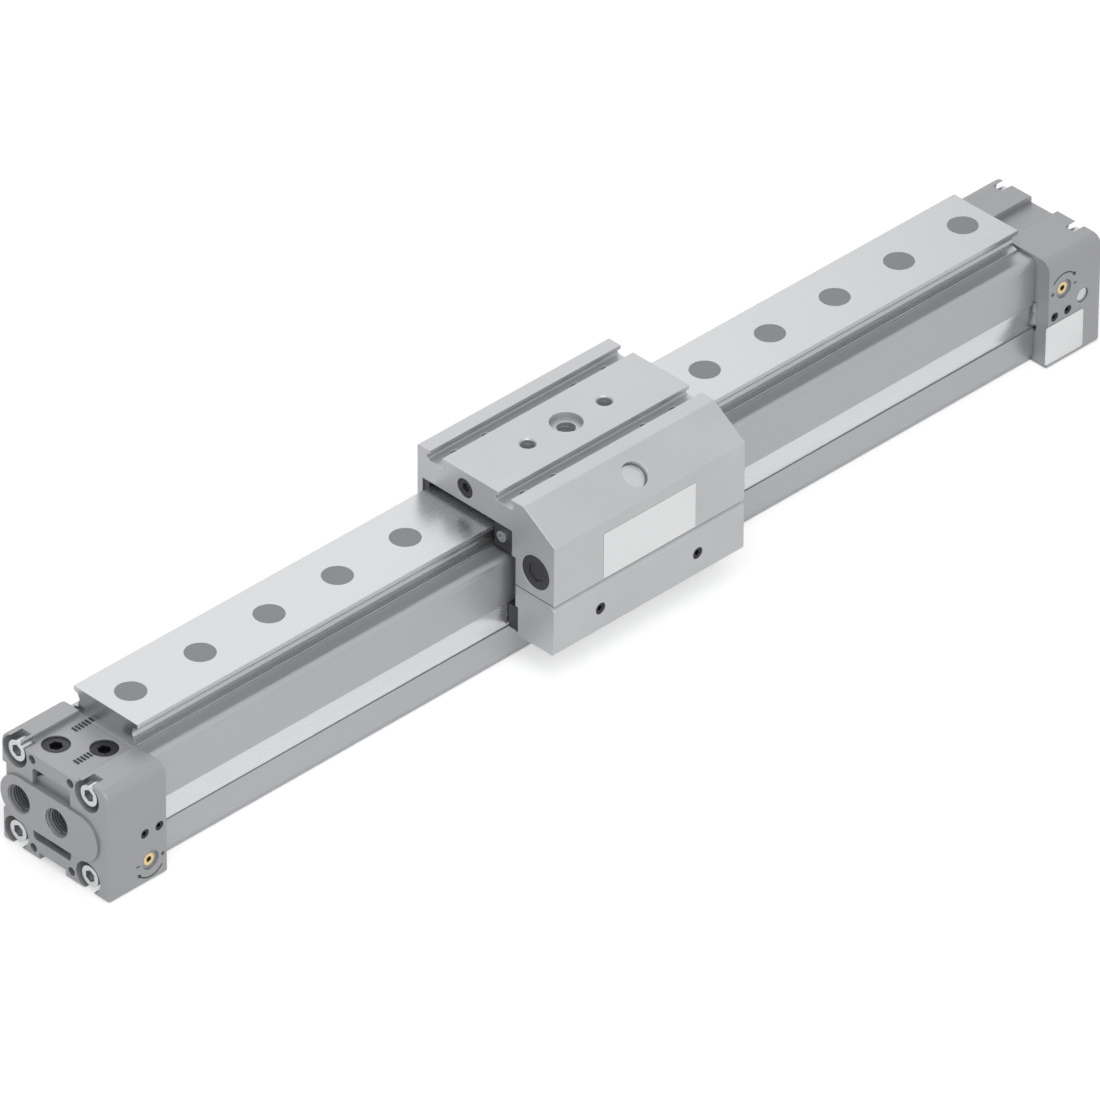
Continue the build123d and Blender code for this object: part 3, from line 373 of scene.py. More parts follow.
def drawn_metal(name, base, metallic, rough, along=(14.0, 900.0, 900.0), contrast=0.06, edge_radius=0.3 * MM):
    """Metal with fine lines along the stroke, cloudy tone, brighter edges that are partly wear and partly
    painted highlight, painted shade in its grooves, and no lines on its end faces.
    """
    finish = Finish(name)
    ends = finish.end_faces()
    drawn = finish.noise(1.0, LINE_DETAIL, LINE_BREAK, finish.stretched(*along))
    lines = drawn * (1.0 - ends) + ends * 0.5
    clouds = finish.noise(LINE_CLOUDS)
    tone = (lines * LINE_SHARE + clouds * (1.0 - LINE_SHARE)).clamped()
    toned = mottled(finish, base, tone, contrast)
    finish.set(
        Base_Color=worn_highlit_and_shaded(finish, base, toned, edge_radius, LINE_WEAR_AND_HIGHLIGHT, LINE_EDGE_WEAR_AND_HIGHLIGHT, alone=True),
        Metallic=metallic,
        Roughness=varied(rough, (lines, LINE_GLOSS), (clouds, LINE_CLOUD_GLOSS)),
    )
    finish.bump(lines, LINE_BUMP, LINE_HEIGHT, edge_radius)
    return finish.material


def grained(name, base, metallic, rough, grain, height, contrast=0.08, edge_radius=0.3 * MM, edge_wear_and_highlight=1.18,
            alone=True):
    """A blasted, cast or moulded surface with an even fine grain, brighter edges that are partly wear and
    partly painted highlight, and painted shade in its grooves.
    """
    finish = Finish(name)
    fine = finish.noise(grain, GRAIN_DETAIL, GRAIN_BREAK)
    clouds = finish.noise(GRAIN_CLOUDS)
    toned = mottled(finish, base, clouds, contrast)
    finish.set(
        Base_Color=worn_highlit_and_shaded(finish, base, toned, edge_radius, GRAIN_WEAR_AND_HIGHLIGHT, edge_wear_and_highlight, alone),
        Metallic=metallic,
        Roughness=varied(rough, (fine, GRAIN_GLOSS), (clouds, GRAIN_CLOUD_GLOSS)),
    )
    finish.bump(fine, GRAIN_BUMP, height, edge_radius)
    return finish.material


def make_finishes(colours):
    """Every finish by the record's material slot, and those of the scene's own pieces."""
    # The edge figures set how much brighter edges are, partly wear and partly painted highlight; alone=False
    # lets the painted shade reach the joints with neighbouring parts.
    return {
        "barrel": drawn_metal("anodised_extrusion", colours.extrusion, 0.6, 0.38, edge_radius=0.5 * MM),
        "slide_aluminium": grained(
            "anodised_machined", colours.machined, 0.45, 0.40, grain=900.0, height=0.03 * MM,
            edge_radius=0.6 * MM, edge_wear_and_highlight=1.4, alone=False,
        ),
        "driver_aluminium": grained(
            "milled_aluminium", colours.machined, 0.8, 0.34, grain=700.0, height=0.03 * MM
        ),
        "cap_metal": grained(
            "painted_casting", colours.casting, 0.3, 0.44, grain=620.0, height=0.06 * MM,
            contrast=0.06, edge_radius=0.6 * MM, edge_wear_and_highlight=1.3, alone=False,
        ),
        "rail_steel": drawn_metal(
            "ground_steel", colours.rail, 0.85, 0.27, along=(5.0, 1600.0, 1600.0), contrast=0.07
        ),
        "band_steel": drawn_metal(
            "rolled_strip", colours.strip, 0.85, 0.26, along=STRIP_LINES, contrast=0.05, edge_radius=0.1 * MM
        ),
        "plate_aluminium": drawn_metal(
            "brushed_plate", colours.plate, 0.8, 0.33, along=STRIP_LINES, contrast=0.04, edge_radius=0.1 * MM
        ),
        "zinc_steel": grained(
            "zinc_plate", colours.zinc, 0.92, 0.30, grain=800.0, height=0.02 * MM,
            contrast=0.10, edge_radius=0.2 * MM,
        ),
        "black_steel": grained(
            "black_oxide", colours.oxide, 0.75, 0.36, grain=900.0, height=0.02 * MM,
            contrast=0.25, edge_radius=0.2 * MM, edge_wear_and_highlight=2.6,
        ),
        "ball_steel": grained(
            "polished_steel", colours.zinc, 1.0, 0.10, grain=500.0, height=0.005 * MM,
            contrast=0.04, edge_radius=0.1 * MM,
        ),
        "brass": grained(
            "turned_brass", colours.brass, 0.95, 0.28, grain=800.0, height=0.02 * MM, edge_radius=0.2 * MM
        ),
        "rail_cap_plastic": grained(
            "cap_plastic", colours.rail_cap, 0.0, 0.48, grain=900.0, height=0.04 * MM,
            contrast=0.10, edge_radius=0.2 * MM, edge_wear_and_highlight=1.3,
        ),
        "dark_plastic": grained(
            "moulded_plastic", colours.plastic, 0.0, 0.46, grain=900.0, height=0.04 * MM,
            contrast=0.20, edge_radius=0.2 * MM, edge_wear_and_highlight=2.0,
        ),
        "rubber": grained(
            "seal_rubber", colours.rubber, 0.0, 0.62, grain=700.0, height=0.04 * MM,
            contrast=0.20, edge_radius=0.2 * MM, edge_wear_and_highlight=1.6,
        ),
        "ink": grained(
            "printed_ink", colours.ink, 0.0, 0.55, grain=900.0, height=0.01 * MM,
            contrast=0.20, edge_radius=0.1 * MM, edge_wear_and_highlight=1.4,
        ),
    }


def coat(piece, slot, finish=None):
    """Give a new piece the finish of its slot, or one of its own."""
    piece.data.materials.clear()
    piece.data.materials.append(FINISHES[finish or slot])


def dress(piece, slot, body, finish=None):
    """Give a new piece the finish of its slot, or one of its own, and the body that it moves with."""
    coat(piece, slot, finish)
    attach(piece, body)


class CYLINDER_OT_finishes(bpy.types.Operator):
    """Make the finishes and put them on the model's nodes"""

    bl_idname = "cylinder.finishes"
    bl_label = "Finishes"

    def execute(self, context):
        FINISHES.update(make_finishes(context.scene.cylinder_colours))
        for entry in frame["record"]["subparts"]:
            mesh = frame["nodes"][entry["node"]].data
            for index in range(len(mesh.materials)):
                mesh.materials[index] = FINISHES[entry["material_slot"]]
        return {"FINISHED"}


# Mesh work in edit mode

SAME = 0.001 * MM           # points nearer than this are one
MODEL_SMOOTH = radians(30)  # faces that meet at less than this are shaded as one
SHEET_SMOOTH = radians(35)


def deselect_all():
    """Leave edit mode with nothing selected, as every new primitive needs."""
    if bpy.context.mode != "OBJECT":
        bpy.ops.object.mode_set(mode="OBJECT")
    bpy.ops.object.select_all(action="DESELECT")


def edit_all():
    """Enter edit mode with all selected."""
    bpy.ops.object.mode_set(mode="EDIT")
    bpy.ops.mesh.select_all(action="SELECT")


def select_only(piece):
    """Select one piece and make it the active one."""
    deselect_all()
    piece.select_set(True)
    bpy.context.view_layer.objects.active = piece


def select_where(piece, kind, test):
    """Enter edit mode with just those edges or faces selected that pass a test."""
    bpy.context.view_layer.objects.active = piece
    bpy.ops.object.mode_set(mode="EDIT")
    bpy.ops.mesh.select_mode(type=kind)
    bpy.ops.mesh.select_all(action="DESELECT")
    bpy.ops.object.mode_set(mode="OBJECT")
    for element in piece.data.edges if kind == "EDGE" else piece.data.polygons:
        element.select = test(element)
    bpy.ops.object.mode_set(mode="EDIT")


def select_edges(piece, test):
    """Enter edit mode with just the edges selected whose two ends pass a test."""

    def ends_pass(edge):
        return test(*[piece.data.vertices[index].co for index in edge.vertices])

    select_where(piece, "EDGE", ends_pass)


def settle(piece, name):
    """Name a piece and put its place into its mesh."""
    select_only(piece)
    bpy.ops.object.transform_apply(location=True, rotation=True, scale=True)
    piece.name = name
    piece.data.name = name
    return piece


def add_modifier(piece, kind, **settings):
    """Add a modifier and apply it at once."""
    bpy.context.view_layer.objects.active = piece
    bpy.ops.object.modifier_add(type=kind)
    modifier = piece.modifiers[-1]
    for key, value in settings.items():
        setattr(modifier, key, value)
    bpy.ops.object.modifier_apply(modifier=modifier.name)


def soften(piece, width, segments=2, least=radians(30)):
    """Bevel the edges that turn by more than an angle."""
    add_modifier(piece, "BEVEL", width=width, segments=segments, limit_method="ANGLE", angle_limit=least)


def add_block(low, high):
    """A cube primitive set between two corners."""
    deselect_all()
    middle = (Vector(low) + Vector(high)) / 2
    bpy.ops.mesh.primitive_cube_add(size=1.0, location=middle)
    piece = bpy.context.object
    piece.scale = Vector(high) - Vector(low)
    bpy.ops.object.transform_apply(location=True, rotation=True, scale=True)
    return piece


def copy_to(piece, name, place, turn):
    """A copy with a mesh of its own, turned and moved, with its place put into the mesh."""
    select_only(piece)
    bpy.ops.object.duplicate(linked=False)
    copy = bpy.context.object
    copy.rotation_euler = turn
    copy.location = place
    settle(copy, name)
    bpy.ops.object.shade_smooth_by_angle(angle=MODEL_SMOOTH)
    return copy


def delete_piece(piece):
    """Delete a piece that only helped to make others, such as a pattern or a cutter."""
    select_only(piece)
    bpy.ops.object.delete()


def join(pieces):
    """Join pieces into the first."""
    select_only(pieces[0])
    for piece in pieces:
        piece.select_set(True)
    bpy.ops.object.join()
    return pieces[0]


def sweep(width, depth, taper, start, arc, rise, turns, steps):
    """A bar swept round +Z through the origin, with its narrow side inwards and both ends closed."""
    deselect_all()
    bpy.ops.mesh.primitive_plane_add(size=1.0, rotation=(pi / 2, 0.0, 0.0))
    bar = bpy.context.object
    bar.scale = (depth, width, 1.0)
    bpy.ops.object.transform_apply(location=False, rotation=True, scale=True)
    for vertex in bar.data.vertices:
        vertex.select = vertex.co.x < 0.0
    bpy.ops.object.mode_set(mode="EDIT")
    bpy.ops.transform.resize(value=(1.0, 1.0, taper), center_override=(0.0, 0.0, 0.0))
    bpy.ops.mesh.select_all(action="SELECT")
    bpy.ops.transform.translate(value=start)
    bpy.ops.mesh.delete(type="ONLY_FACE")
    bpy.ops.object.mode_set(mode="OBJECT")
    add_modifier(
        bar, "SCREW", axis="Z", angle=arc, screw_offset=rise, iterations=turns, steps=steps,
        render_steps=steps, use_merge_vertices=False,
    )
    edit_all()
    bpy.ops.mesh.remove_doubles(threshold=SAME)
    bpy.ops.mesh.fill_holes(sides=4)
    bpy.ops.mesh.normals_make_consistent(inside=False)
    bpy.ops.object.mode_set(mode="OBJECT")
    return bar


def merged_copy(node, name):
    """A closed copy of a node's mesh as a piece of its own."""
    piece = bpy.data.objects.new(name, frame["nodes"][node].data.copy())
    bpy.context.collection.objects.link(piece)
    select_only(piece)
    bpy.ops.mesh.customdata_custom_splitnormals_clear()
    edit_all()
    bpy.ops.mesh.remove_doubles(threshold=SAME)
    bpy.ops.object.mode_set(mode="OBJECT")
    return piece


# Bands

BAND_HOLD = 22.0 * MM       # from mid slide to the end of the stretch past the driver
BAND_RAMP = 48.0 * MM       # from mid slide to where the band lies in its groove again
BAND_BEND = 15.0 * MM       # radius of the bends between the two
COVER_THICK = 1.0 * MM
SEAL_THICK = 0.8 * MM
BEND_SEGMENTS = 3
STRIP_EDGE_ANGLE = radians(40)


def straight_run(low, high, sign, groove, thick, crown):
    """Half a band's straight run in its groove, with its outer face crowned along the middle."""
    middle_z = (low.z + high.z) / 2
    ends = sorted((sign * high.x, sign * BAND_RAMP))
    strip = add_block((ends[0], groove, low.z), (ends[1], groove + thick, high.z))
    edit_all()
    bpy.ops.mesh.bisect(plane_co=(ends[0], groove, middle_z), plane_no=(0.0, 0.0, 1.0))

    def outer_middle(first, last):
        centred = max(abs(first.z - middle_z), abs(last.z - middle_z)) < SAME
        outer = max(first.y, last.y) < groove + thick / 2
        return centred and outer and abs(first.x - last.x) > thick

    select_edges(strip, outer_middle)
    bpy.ops.transform.translate(value=(0.0, -crown, 0.0))
    return strip


def lead_past_driver(strip, sign, shift):
    """Extrude the run's inner end over a ramp and past the driver, and round the bends."""
    select_where(strip, "FACE", lambda face: abs(face.center.x - sign * BAND_RAMP) < SAME)
    for step, rise in ((BAND_HOLD - BAND_RAMP, shift), (-BAND_HOLD, 0.0)):
        bpy.ops.mesh.extrude_region_move(TRANSFORM_OT_translate={"value": (sign * step, rise, 0.0)})

    def bend_line(first, last):
        off_bend = min(abs(abs(first.x) - BAND_RAMP), abs(abs(first.x) - BAND_HOLD))
        return abs(first.x - last.x) < SAME and off_bend < SAME

    select_edges(strip, bend_line)
    slope = atan2(abs(shift), BAND_RAMP - BAND_HOLD)
    bpy.ops.mesh.bevel(offset=BAND_BEND * tan(slope / 2), segments=BEND_SEGMENTS, affect="EDGES")
    bpy.ops.mesh.select_all(action="SELECT")
    bpy.ops.mesh.normals_make_consistent(inside=False)
    bpy.ops.object.mode_set(mode="OBJECT")


def half_band(name, node, sign, thick, crown, edge):
    """Half a band on its path past the driver: still in its cap at one end, and led over a ramp past the
    driver at the other.
    """
    low, high = corners(node)
    lifted = node == "cover_band"
    groove = high.y - thick if lifted else low.y
    past_driver = low.y if lifted else high.y - thick
    strip = straight_run(low, high, sign, groove, thick, crown)
    lead_past_driver(strip, sign, past_driver - groove)
    soften(strip, edge, BEND_SEGMENTS, STRIP_EDGE_ANGLE)
    settle(strip, name)
    bpy.ops.object.shade_smooth_by_angle(angle=SHEET_SMOOTH)
    coat(strip, "band_steel")
    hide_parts(node)
    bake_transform(strip)


class CYLINDER_OT_bands(bpy.types.Operator):
    """Model the two bands as halves that are led over a ramp past the driver"""

    bl_idname = "cylinder.bands"
    bl_label = "Bands"

    def execute(self, context):
        sizes = context.scene.cylinder_sizes
        crown, edge = sizes.strip_crown, sizes.strip_edge
        for side, sign in SIDES:
            half_band(f"{side}_cover_strip", "cover_band", sign, COVER_THICK, crown, edge)
            half_band(f"{side}_sealing_strip", "sealing_band", sign, SEAL_THICK, 0.0, edge)
        return {"FINISHED"}


# Threads

PIPE_PITCH = 1.337 * MM
CENTRE_PITCH = 1.5 * MM
TABLE_PITCH = 1.25 * MM
SLOT_PITCH = 1.0 * MM
TABLE_REACH = 11.0 * MM     # length of the thread in a fixing hole of the table
SLOT_REACH = 5.5 * MM
PIPE_DEPTH = 0.64           # ridge height of a full thread, as a share of its pitch
CORE_DEPTH = 0.22           # the same where the hole is modelled at its tapping size
RIDGE_BASE = 0.84           # width of a ridge at the wall, as a share of its pitch
RIDGE_TAPER = 0.2           # width at its crest, as a share of that
THREAD_STEPS = 36
MOUTH_SINK = 0.5 * MM


def hole_places(mount):
    """Places of a bolt pattern's holes, a little below their mouths."""
    across = mount["dims"]["spacing_x_mm"] / 2 * MM
    aside = mount["dims"].get("spacing_y_mm", 0.0) / 2 * MM
    rows = (-aside, aside) if aside else (0.0,)
    return [Vector(mount["pos_m"]) + Vector((x, y, -MOUTH_SINK)) for x in (-across, across) for y in rows]


def add_threads(name, radius, reach, pitch, height, slot, body, places, turn):
    """Threads of one kind, copied to the mouths of their holes."""
    sunk = bpy.context.scene.cylinder_sizes.ridge_sunk
    start = (radius + sunk - height / 2, 0.0, pitch / 2)
    turns = int(reach / pitch) - 1
    pattern = sweep(pitch * RIDGE_BASE, height, RIDGE_TAPER, start, tau, pitch, turns, THREAD_STEPS)
    for index, place in enumerate(places):
        dress(copy_to(pattern, f"{name}_{index + 1}", place, turn), slot, body)
    delete_piece(pattern)


class CYLINDER_OT_port_threads(bpy.types.Operator):
    """Model the pipe threads of the four air ports"""

    bl_idname = "cylinder.port_threads"
    bl_label = "Port threads"

    def execute(self, context):
        for side, sign in SIDES:
            for row in ("far", "near"):
                port = MOUNTS[f"{side}_port_{row}"]
                reach = port["dims"]["length_mm"] * MM
                mouth = Vector(port["pos_m"]) + Vector((sign * (reach / 2 - MOUTH_SINK), 0.0, 0.0))
                add_threads(
                    f"{side}_{row}_port_thread", port["dims"]["r_mm"] * MM, reach, PIPE_PITCH,
                    PIPE_PITCH * PIPE_DEPTH, "cap_metal", "barrel", [mouth], (0.0, -sign * pi / 2, 0.0),
                )
        return {"FINISHED"}


class CYLINDER_OT_table_threads(bpy.types.Operator):
    """Model the threads in the table's centre hole, fixing holes and slots"""

    bl_idname = "cylinder.table_threads"
    bl_label = "Table threads"

    def execute(self, context):
        centre = MOUNTS["centre_thread"]
        reach = centre["dims"]["length_mm"] * MM
        mouth = Vector(centre["pos_m"]) + Vector((0.0, 0.0, reach / 2 - MOUTH_SINK))
        threads = [("centre_thread", centre["dims"]["r_mm"], reach, CENTRE_PITCH, [mouth])]
        for name, mount, depth, pitch in (
            ("table_thread", MOUNTS["table_holes"], TABLE_REACH, TABLE_PITCH),
            ("inner_slot_thread", MOUNTS["slot_threads_inner"], SLOT_REACH, SLOT_PITCH),
            ("outer_slot_thread", MOUNTS["slot_threads_outer"], SLOT_REACH, SLOT_PITCH),
        ):
            threads.append((name, mount["dims"]["hole_r_mm"], depth, pitch, hole_places(mount)))
        for name, radius, depth, pitch, places in threads:
            add_threads(
                name, radius * MM, depth, pitch, pitch * CORE_DEPTH, "slide_aluminium", "slide",
                places, (pi, 0.0, 0.0),
            )
        return {"FINISHED"}


# Marks and labels

SCALE_START = radians(-142)
SCALE_SWEEP = radians(104)
SCALE_STEPS = 30
SIGN_REACH = 0.85           # plus and minus to the needle, as a share of the arc's radius
SIGN_STROKE = 3.4           # their length, and the arrow's below, as shares of the line's width
ARROW_SIZE = 2.2
CROSS_RISE = 1.3            # height of the plus's second stroke, as a share of its first
BAR_EDGE = 0.25             # bevel of a mark or label, as a share of its smallest side
ARROW_EDGE = 0.4            # bevel of the arrow, as a share of the print's thickness
RIBS = 6
MARK_PLACES = ((7.6, 8.7), (22.7, -8.7))        # from the cap's inner face, and Y, in millimetres
SADDLE_DEPTH = 2.5 * MM
LABEL_FROM = (2.4, 2.4)     # lower corner of the label from the cap's inner lower edge, in millimetres
LABEL_SIZE = (23.6, 20.0)
LABEL_SUNK = 0.1            # how deep the label lies in its wall, as a share of its thickness
CORNER_SEGMENTS = 5
LABEL_EDGE_ANGLE = radians(50)


def flat_bar(place, along, across, thick):
    """A flat bar with soft edges on the XY plane."""
    bar = add_block((-along / 2, -across / 2, -thick), (along / 2, across / 2, thick))
    soften(bar, min(along, across, thick * 2) * BAR_EDGE)
    bar.location = place
    return settle(bar, "bar")


def flat_arrow(place, radius, thick, turn):
    """A flat three-cornered arrowhead on the XY plane that points along its turn."""
    deselect_all()
    bpy.ops.mesh.primitive_cylinder_add(vertices=3, radius=radius, depth=thick * 2)
    arrow = bpy.context.object
    soften(arrow, thick * ARROW_EDGE)
    arrow.rotation_euler = (0.0, 0.0, turn - pi / 2)
    arrow.location = place
    return settle(arrow, "arrow")


def scale_pattern(radius, line, thick):
    """The arc with its arrowhead, a plus at its right and a minus at its left, round the origin."""
    stroke = line * SIGN_STROKE
    arrow_place = Vector((radius * cos(SCALE_START), radius * sin(SCALE_START), 0.0))
    plus = Vector((radius * SIGN_REACH, 0.0, 0.0))
    arc = sweep(thick * 2, line, 1.0, (radius, 0.0, 0.0), SCALE_SWEEP, 0.0, 1, SCALE_STEPS)
    arc.rotation_euler = (0.0, 0.0, SCALE_START)
    settle(arc, "arc")
    return join([
        arc,
        flat_arrow(arrow_place, line * ARROW_SIZE, thick, SCALE_START - pi / 2),
        flat_bar(plus, stroke, line, thick),
        flat_bar(plus, line, stroke, thick * CROSS_RISE),
        flat_bar(-plus, stroke, line, thick),
    ])


class CYLINDER_OT_needle_scales(bpy.types.Operator):
    """Print an arc with an arrow, a plus and a minus round each cushion needle"""

    bl_idname = "cylinder.needle_scales"
    bl_label = "Needle scales"

    def execute(self, context):
        sizes = context.scene.cylinder_sizes
        pattern = scale_pattern(sizes.scale_radius, sizes.scale_line, sizes.print_thick)
        for (side, _), turn in zip(SIDES, (0.0, pi)):
            low, high = corners(f"{side}_cushion_needle")
            wall = corners(f"{side}_end_cap")[0].y
            middle = Vector(((low.x + high.x) / 2, wall, (low.z + high.z) / 2))
            scale = copy_to(pattern, f"{side}_needle_scale", middle, (pi / 2, turn, 0.0))
            dress(scale, "dark_plastic", "barrel", "ink")
        delete_piece(pattern)
        return {"FINISHED"}


class CYLINDER_OT_saddle_marks(bpy.types.Operator):
    """Mould two plain ribbed marks beside the plugs in each cap's saddle"""

    bl_idname = "cylinder.saddle_marks"
    bl_label = "Saddle marks"

    def execute(self, context):
        sizes = context.scene.cylinder_sizes
        pattern = join([
            flat_bar(
                Vector(((index - (RIBS - 1) / 2) * sizes.rib_pitch, 0.0, 0.0)),
                sizes.rib_width, sizes.rib_length, sizes.rib_height,
            )
            for index in range(RIBS)
        ])
        for (side, sign), turn in zip(SIDES, (0.0, pi)):
            low, high = corners(f"{side}_end_cap")
            inner = high.x if sign < 0 else low.x
            floor = high.z - SADDLE_DEPTH if sign < 0 else low.z + SADDLE_DEPTH
            for index, (reach_in, across) in enumerate(MARK_PLACES):
                place = Vector((inner + sign * reach_in * MM, across * MM, floor))
                mark = copy_to(pattern, f"{side}_saddle_mark_{index + 1}", place, (0.0, turn, 0.0))
                dress(mark, "dark_plastic", "barrel", "ink")
        delete_piece(pattern)
        return {"FINISHED"}


class CYLINDER_OT_cap_label(bpy.types.Operator):
    """Stick a blank label with round corners on the right cap"""

    bl_idname = "cylinder.cap_label"
    bl_label = "Cap label"

    def execute(self, context):
        sizes = context.scene.cylinder_sizes
        thick = sizes.label_thick
        low = corners("right_end_cap")[0]
        corner = Vector((low.x + LABEL_FROM[0] * MM, low.y - thick, LABEL_FROM[1] * MM))
        extent = Vector((LABEL_SIZE[0] * MM, thick * (1 + LABEL_SUNK), LABEL_SIZE[1] * MM))
        label = add_block(corner, corner + extent)
        select_edges(label, lambda first, last: abs(first.y - last.y) > thick / 2)
        bpy.ops.mesh.bevel(offset=sizes.label_corner, segments=CORNER_SEGMENTS, affect="EDGES")
        bpy.ops.object.mode_set(mode="OBJECT")
        soften(label, thick * BAR_EDGE, least=LABEL_EDGE_ANGLE)
        settle(label, "blank_cap_label")
        bpy.ops.object.shade_smooth_by_angle(angle=SHEET_SMOOTH)
        dress(label, "plate_aluminium", "barrel")
        return {"FINISHED"}


# Driver block

JOINT_GAP = 0.6 * MM        # height of the shadow gap under the skirt
JOINT_DEPTH = 0.8 * MM
BLOCK_BEVEL = 3.0 * MM      # bevel of the block's upper front edge, in the model


class CYLINDER_OT_block_joint(bpy.types.Operator):
    """Cut the shadow gap between the skirt and the driver block"""

    bl_idname = "cylinder.block_joint"
    bl_label = "Block joint"

    def execute(self, context):
        low, high = corners("driver_block")
        margin = Vector((MM, MM, MM))
        before = low - margin
        beyond = high + margin
        piece = merged_copy("driver_block", "driver_block_body")
        for first, last in (
            ((before.x, before.y), (beyond.x, low.y + BLOCK_BEVEL + JOINT_DEPTH)),
            ((before.x, before.y), (low.x + JOINT_DEPTH, beyond.y)),
            ((high.x - JOINT_DEPTH, before.y), (beyond.x, beyond.y)),
        ):
            cutter = add_block((*first, high.z - JOINT_GAP), (*last, beyond.z))
            add_modifier(piece, "BOOLEAN", operation="DIFFERENCE", solver="EXACT", object=cutter)
            delete_piece(cutter)
        settle(piece, "driver_block_body")
        bpy.ops.object.shade_smooth_by_angle(angle=MODEL_SMOOTH)
        dress(piece, "slide_aluminium", "slide")
        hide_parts("driver_block")
        return {"FINISHED"}


# Studio

LAMPS = {                   # place, side length and power setting of each square lamp
    "key_lamp": ((-0.6, -1.3, 2.3), 2.2, "key_power"),
    "fill_lamp": ((-2.2, -0.7, 0.9), 1.8, "fill_power"),
    "back_lamp": ((0.8, 1.9, 1.6), 2.2, "back_power"),
}
SENSOR_MM = 36.0
CLIP_NEAR = 0.1
CLIP_FAR = 30.0
FLOOR_SIZE = 8.0
FLOOR_DROP = 0.3 * MM       # keeps the floor clear of the underside
FLOOR_ROUGH = 0.9
FLOOR_SEEN = (0.97, 0.97, 0.97, 1.0)            # its colour to the camera and in mirror images
BLACK = (0.0, 0.0, 0.0, 1.0)
WHITE = (1.0, 1.0, 1.0, 1.0)


def camera_axes(studio):
    """The camera's right, up and back directions."""
    turn = studio.azimuth
    rise = studio.elevation
    back = Vector((sin(turn) * cos(rise), -cos(turn) * cos(rise), sin(rise)))
    right = Vector((cos(turn), sin(turn), 0.0))
    up = back.cross(right)
    rolled_right = right * cos(studio.roll) + up * sin(studio.roll)
    rolled_up = up * cos(studio.roll) - right * sin(studio.roll)
    return rolled_right, rolled_up, back


def set_camera(scene, studio, target):
    """The camera on the drawing's view."""
    right, up, back = camera_axes(studio)
    place = target + back * studio.distance - right * studio.shift_right - up * studio.shift_up
    deselect_all()
    bpy.ops.object.camera_add(location=place)
    camera = bpy.context.object
    camera.name = "studio_camera"
    turn = Matrix((right, up, back)).transposed()
    camera.matrix_world = Matrix.Translation(place) @ turn.to_4x4()
    camera.data.sensor_width = SENSOR_MM
    camera.data.lens = studio.lens
    camera.data.clip_start = CLIP_NEAR
    camera.data.clip_end = CLIP_FAR
    scene.camera = camera


def add_lamp(name, place, size, watts, target):
    """A square area lamp that looks at the object."""
    deselect_all()
    bpy.ops.object.light_add(type="AREA", location=place)
    lamp = bpy.context.object
    lamp.name = name
    lamp.data.shape = "SQUARE"
    lamp.data.size = size
    lamp.data.energy = watts
    lamp.rotation_euler = (target - Vector(place)).to_track_quat("-Z", "Y").to_euler()


def see_white(tree, light_path):
    """A factor that is 1 for the rays that show the background: seen directly, mirrored or through glass."""
    rays = Term(tree, light_path.outputs["Is Camera Ray"])
    for name in ("Is Glossy Ray", "Is Transmission Ray"):
        rays = rays.at_least(Term(tree, light_path.outputs[name]))
    return rays


def lay_floor(tint, lift):
    """A matt floor that shows white and still takes the object's shadow."""
    deselect_all()
    bpy.ops.mesh.primitive_plane_add(size=FLOOR_SIZE, location=(0.0, 0.0, -FLOOR_DROP))
    floor = settle(bpy.context.object, "studio_floor")
    surface = Finish("studio_floor")
    white = see_white(surface.tree, surface.node("ShaderNodeLightPath"))
    surface.set(
        Base_Color=surface.blend(white, (*tint, 1.0), FLOOR_SEEN),
        Roughness=FLOOR_ROUGH,
        Specular_IOR_Level=0.0,
        Emission_Color=surface.blend(white, BLACK, WHITE),
        Emission_Strength=lift,
    )
    floor.data.materials.append(surface.material)


def light_world(scene, sky):
    """White surroundings that light the object at a lower level."""
    scene.world = bpy.data.worlds.new("studio_world")
    scene.world.use_nodes = True
    tree = scene.world.node_tree
    background = tree.nodes["Background"]
    background.inputs["Color"].default_value = WHITE
    strength = see_white(tree, tree.nodes.new("ShaderNodeLightPath")) * (1.0 - sky) + sky
    tree.links.new(strength.socket, background.inputs["Strength"])


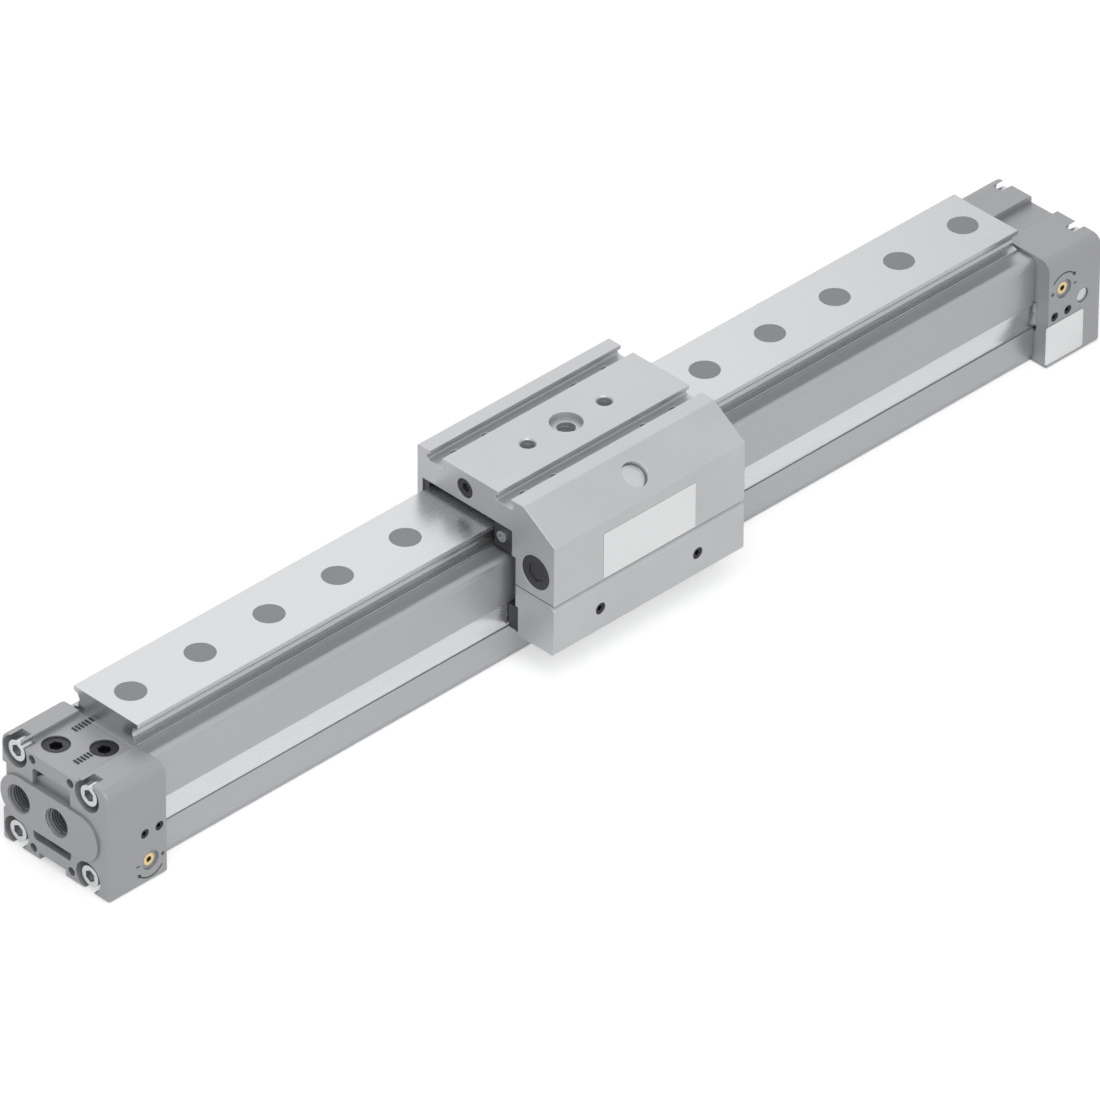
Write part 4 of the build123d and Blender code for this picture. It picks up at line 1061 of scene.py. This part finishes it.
class CYLINDER_OT_studio(bpy.types.Operator):
    """Set up the camera, soft lamps, pale floor and white surroundings"""

    bl_idname = "cylinder.studio"
    bl_label = "Studio"

    def execute(self, context):
        scene = context.scene
        studio = scene.cylinder_studio
        target = Vector((0.0, 0.0, studio.target_height))
        set_camera(scene, studio, target)
        scene.view_settings.view_transform = "Standard"
        for name, (place, size, setting) in LAMPS.items():
            add_lamp(name, place, size, getattr(studio, setting), target)
        lay_floor(scene.cylinder_colours.floor, studio.floor_lift)
        light_world(scene, studio.sky)
        return {"FINISHED"}


# Add-on

class CYLINDER_PT_panel(bpy.types.Panel):
    """Lists the steps that dress the cylinder"""

    bl_idname = "CYLINDER_PT_panel"
    bl_label = "Rodless cylinder"
    bl_space_type = "VIEW_3D"
    bl_region_type = "UI"
    bl_category = "Cylinder"

    def draw(self, context):
        for operator in OPERATORS:
            self.layout.operator(operator.bl_idname)


SETTINGS = {
    "cylinder_colours": CylinderColours,
    "cylinder_sizes": CylinderSizes,
    "cylinder_studio": CylinderStudio,
}
OPERATORS = (
    CYLINDER_OT_finishes,
    CYLINDER_OT_bands,
    CYLINDER_OT_port_threads,
    CYLINDER_OT_table_threads,
    CYLINDER_OT_needle_scales,
    CYLINDER_OT_saddle_marks,
    CYLINDER_OT_cap_label,
    CYLINDER_OT_block_joint,
    CYLINDER_OT_studio,
)


def register():
    """Register the settings, the operators and the panel."""
    for name, group in SETTINGS.items():
        bpy.utils.register_class(group)
        setattr(bpy.types.Scene, name, PointerProperty(type=group))
    for operator in OPERATORS:
        bpy.utils.register_class(operator)
    bpy.utils.register_class(CYLINDER_PT_panel)


def unregister():
    """Remove what register added."""
    bpy.utils.unregister_class(CYLINDER_PT_panel)
    for operator in reversed(OPERATORS):
        bpy.utils.unregister_class(operator)
    for name, group in SETTINGS.items():
        delattr(bpy.types.Scene, name)
        bpy.utils.unregister_class(group)


def main():
    """Dress the model step by step."""
    register()
    bpy.ops.cylinder.finishes()
    bpy.ops.cylinder.bands()
    bpy.ops.cylinder.port_threads()
    bpy.ops.cylinder.table_threads()
    bpy.ops.cylinder.needle_scales()
    bpy.ops.cylinder.saddle_marks()
    bpy.ops.cylinder.cap_label()
    bpy.ops.cylinder.block_joint()
    bpy.ops.cylinder.studio()


if __name__ == "__main__":
    main()
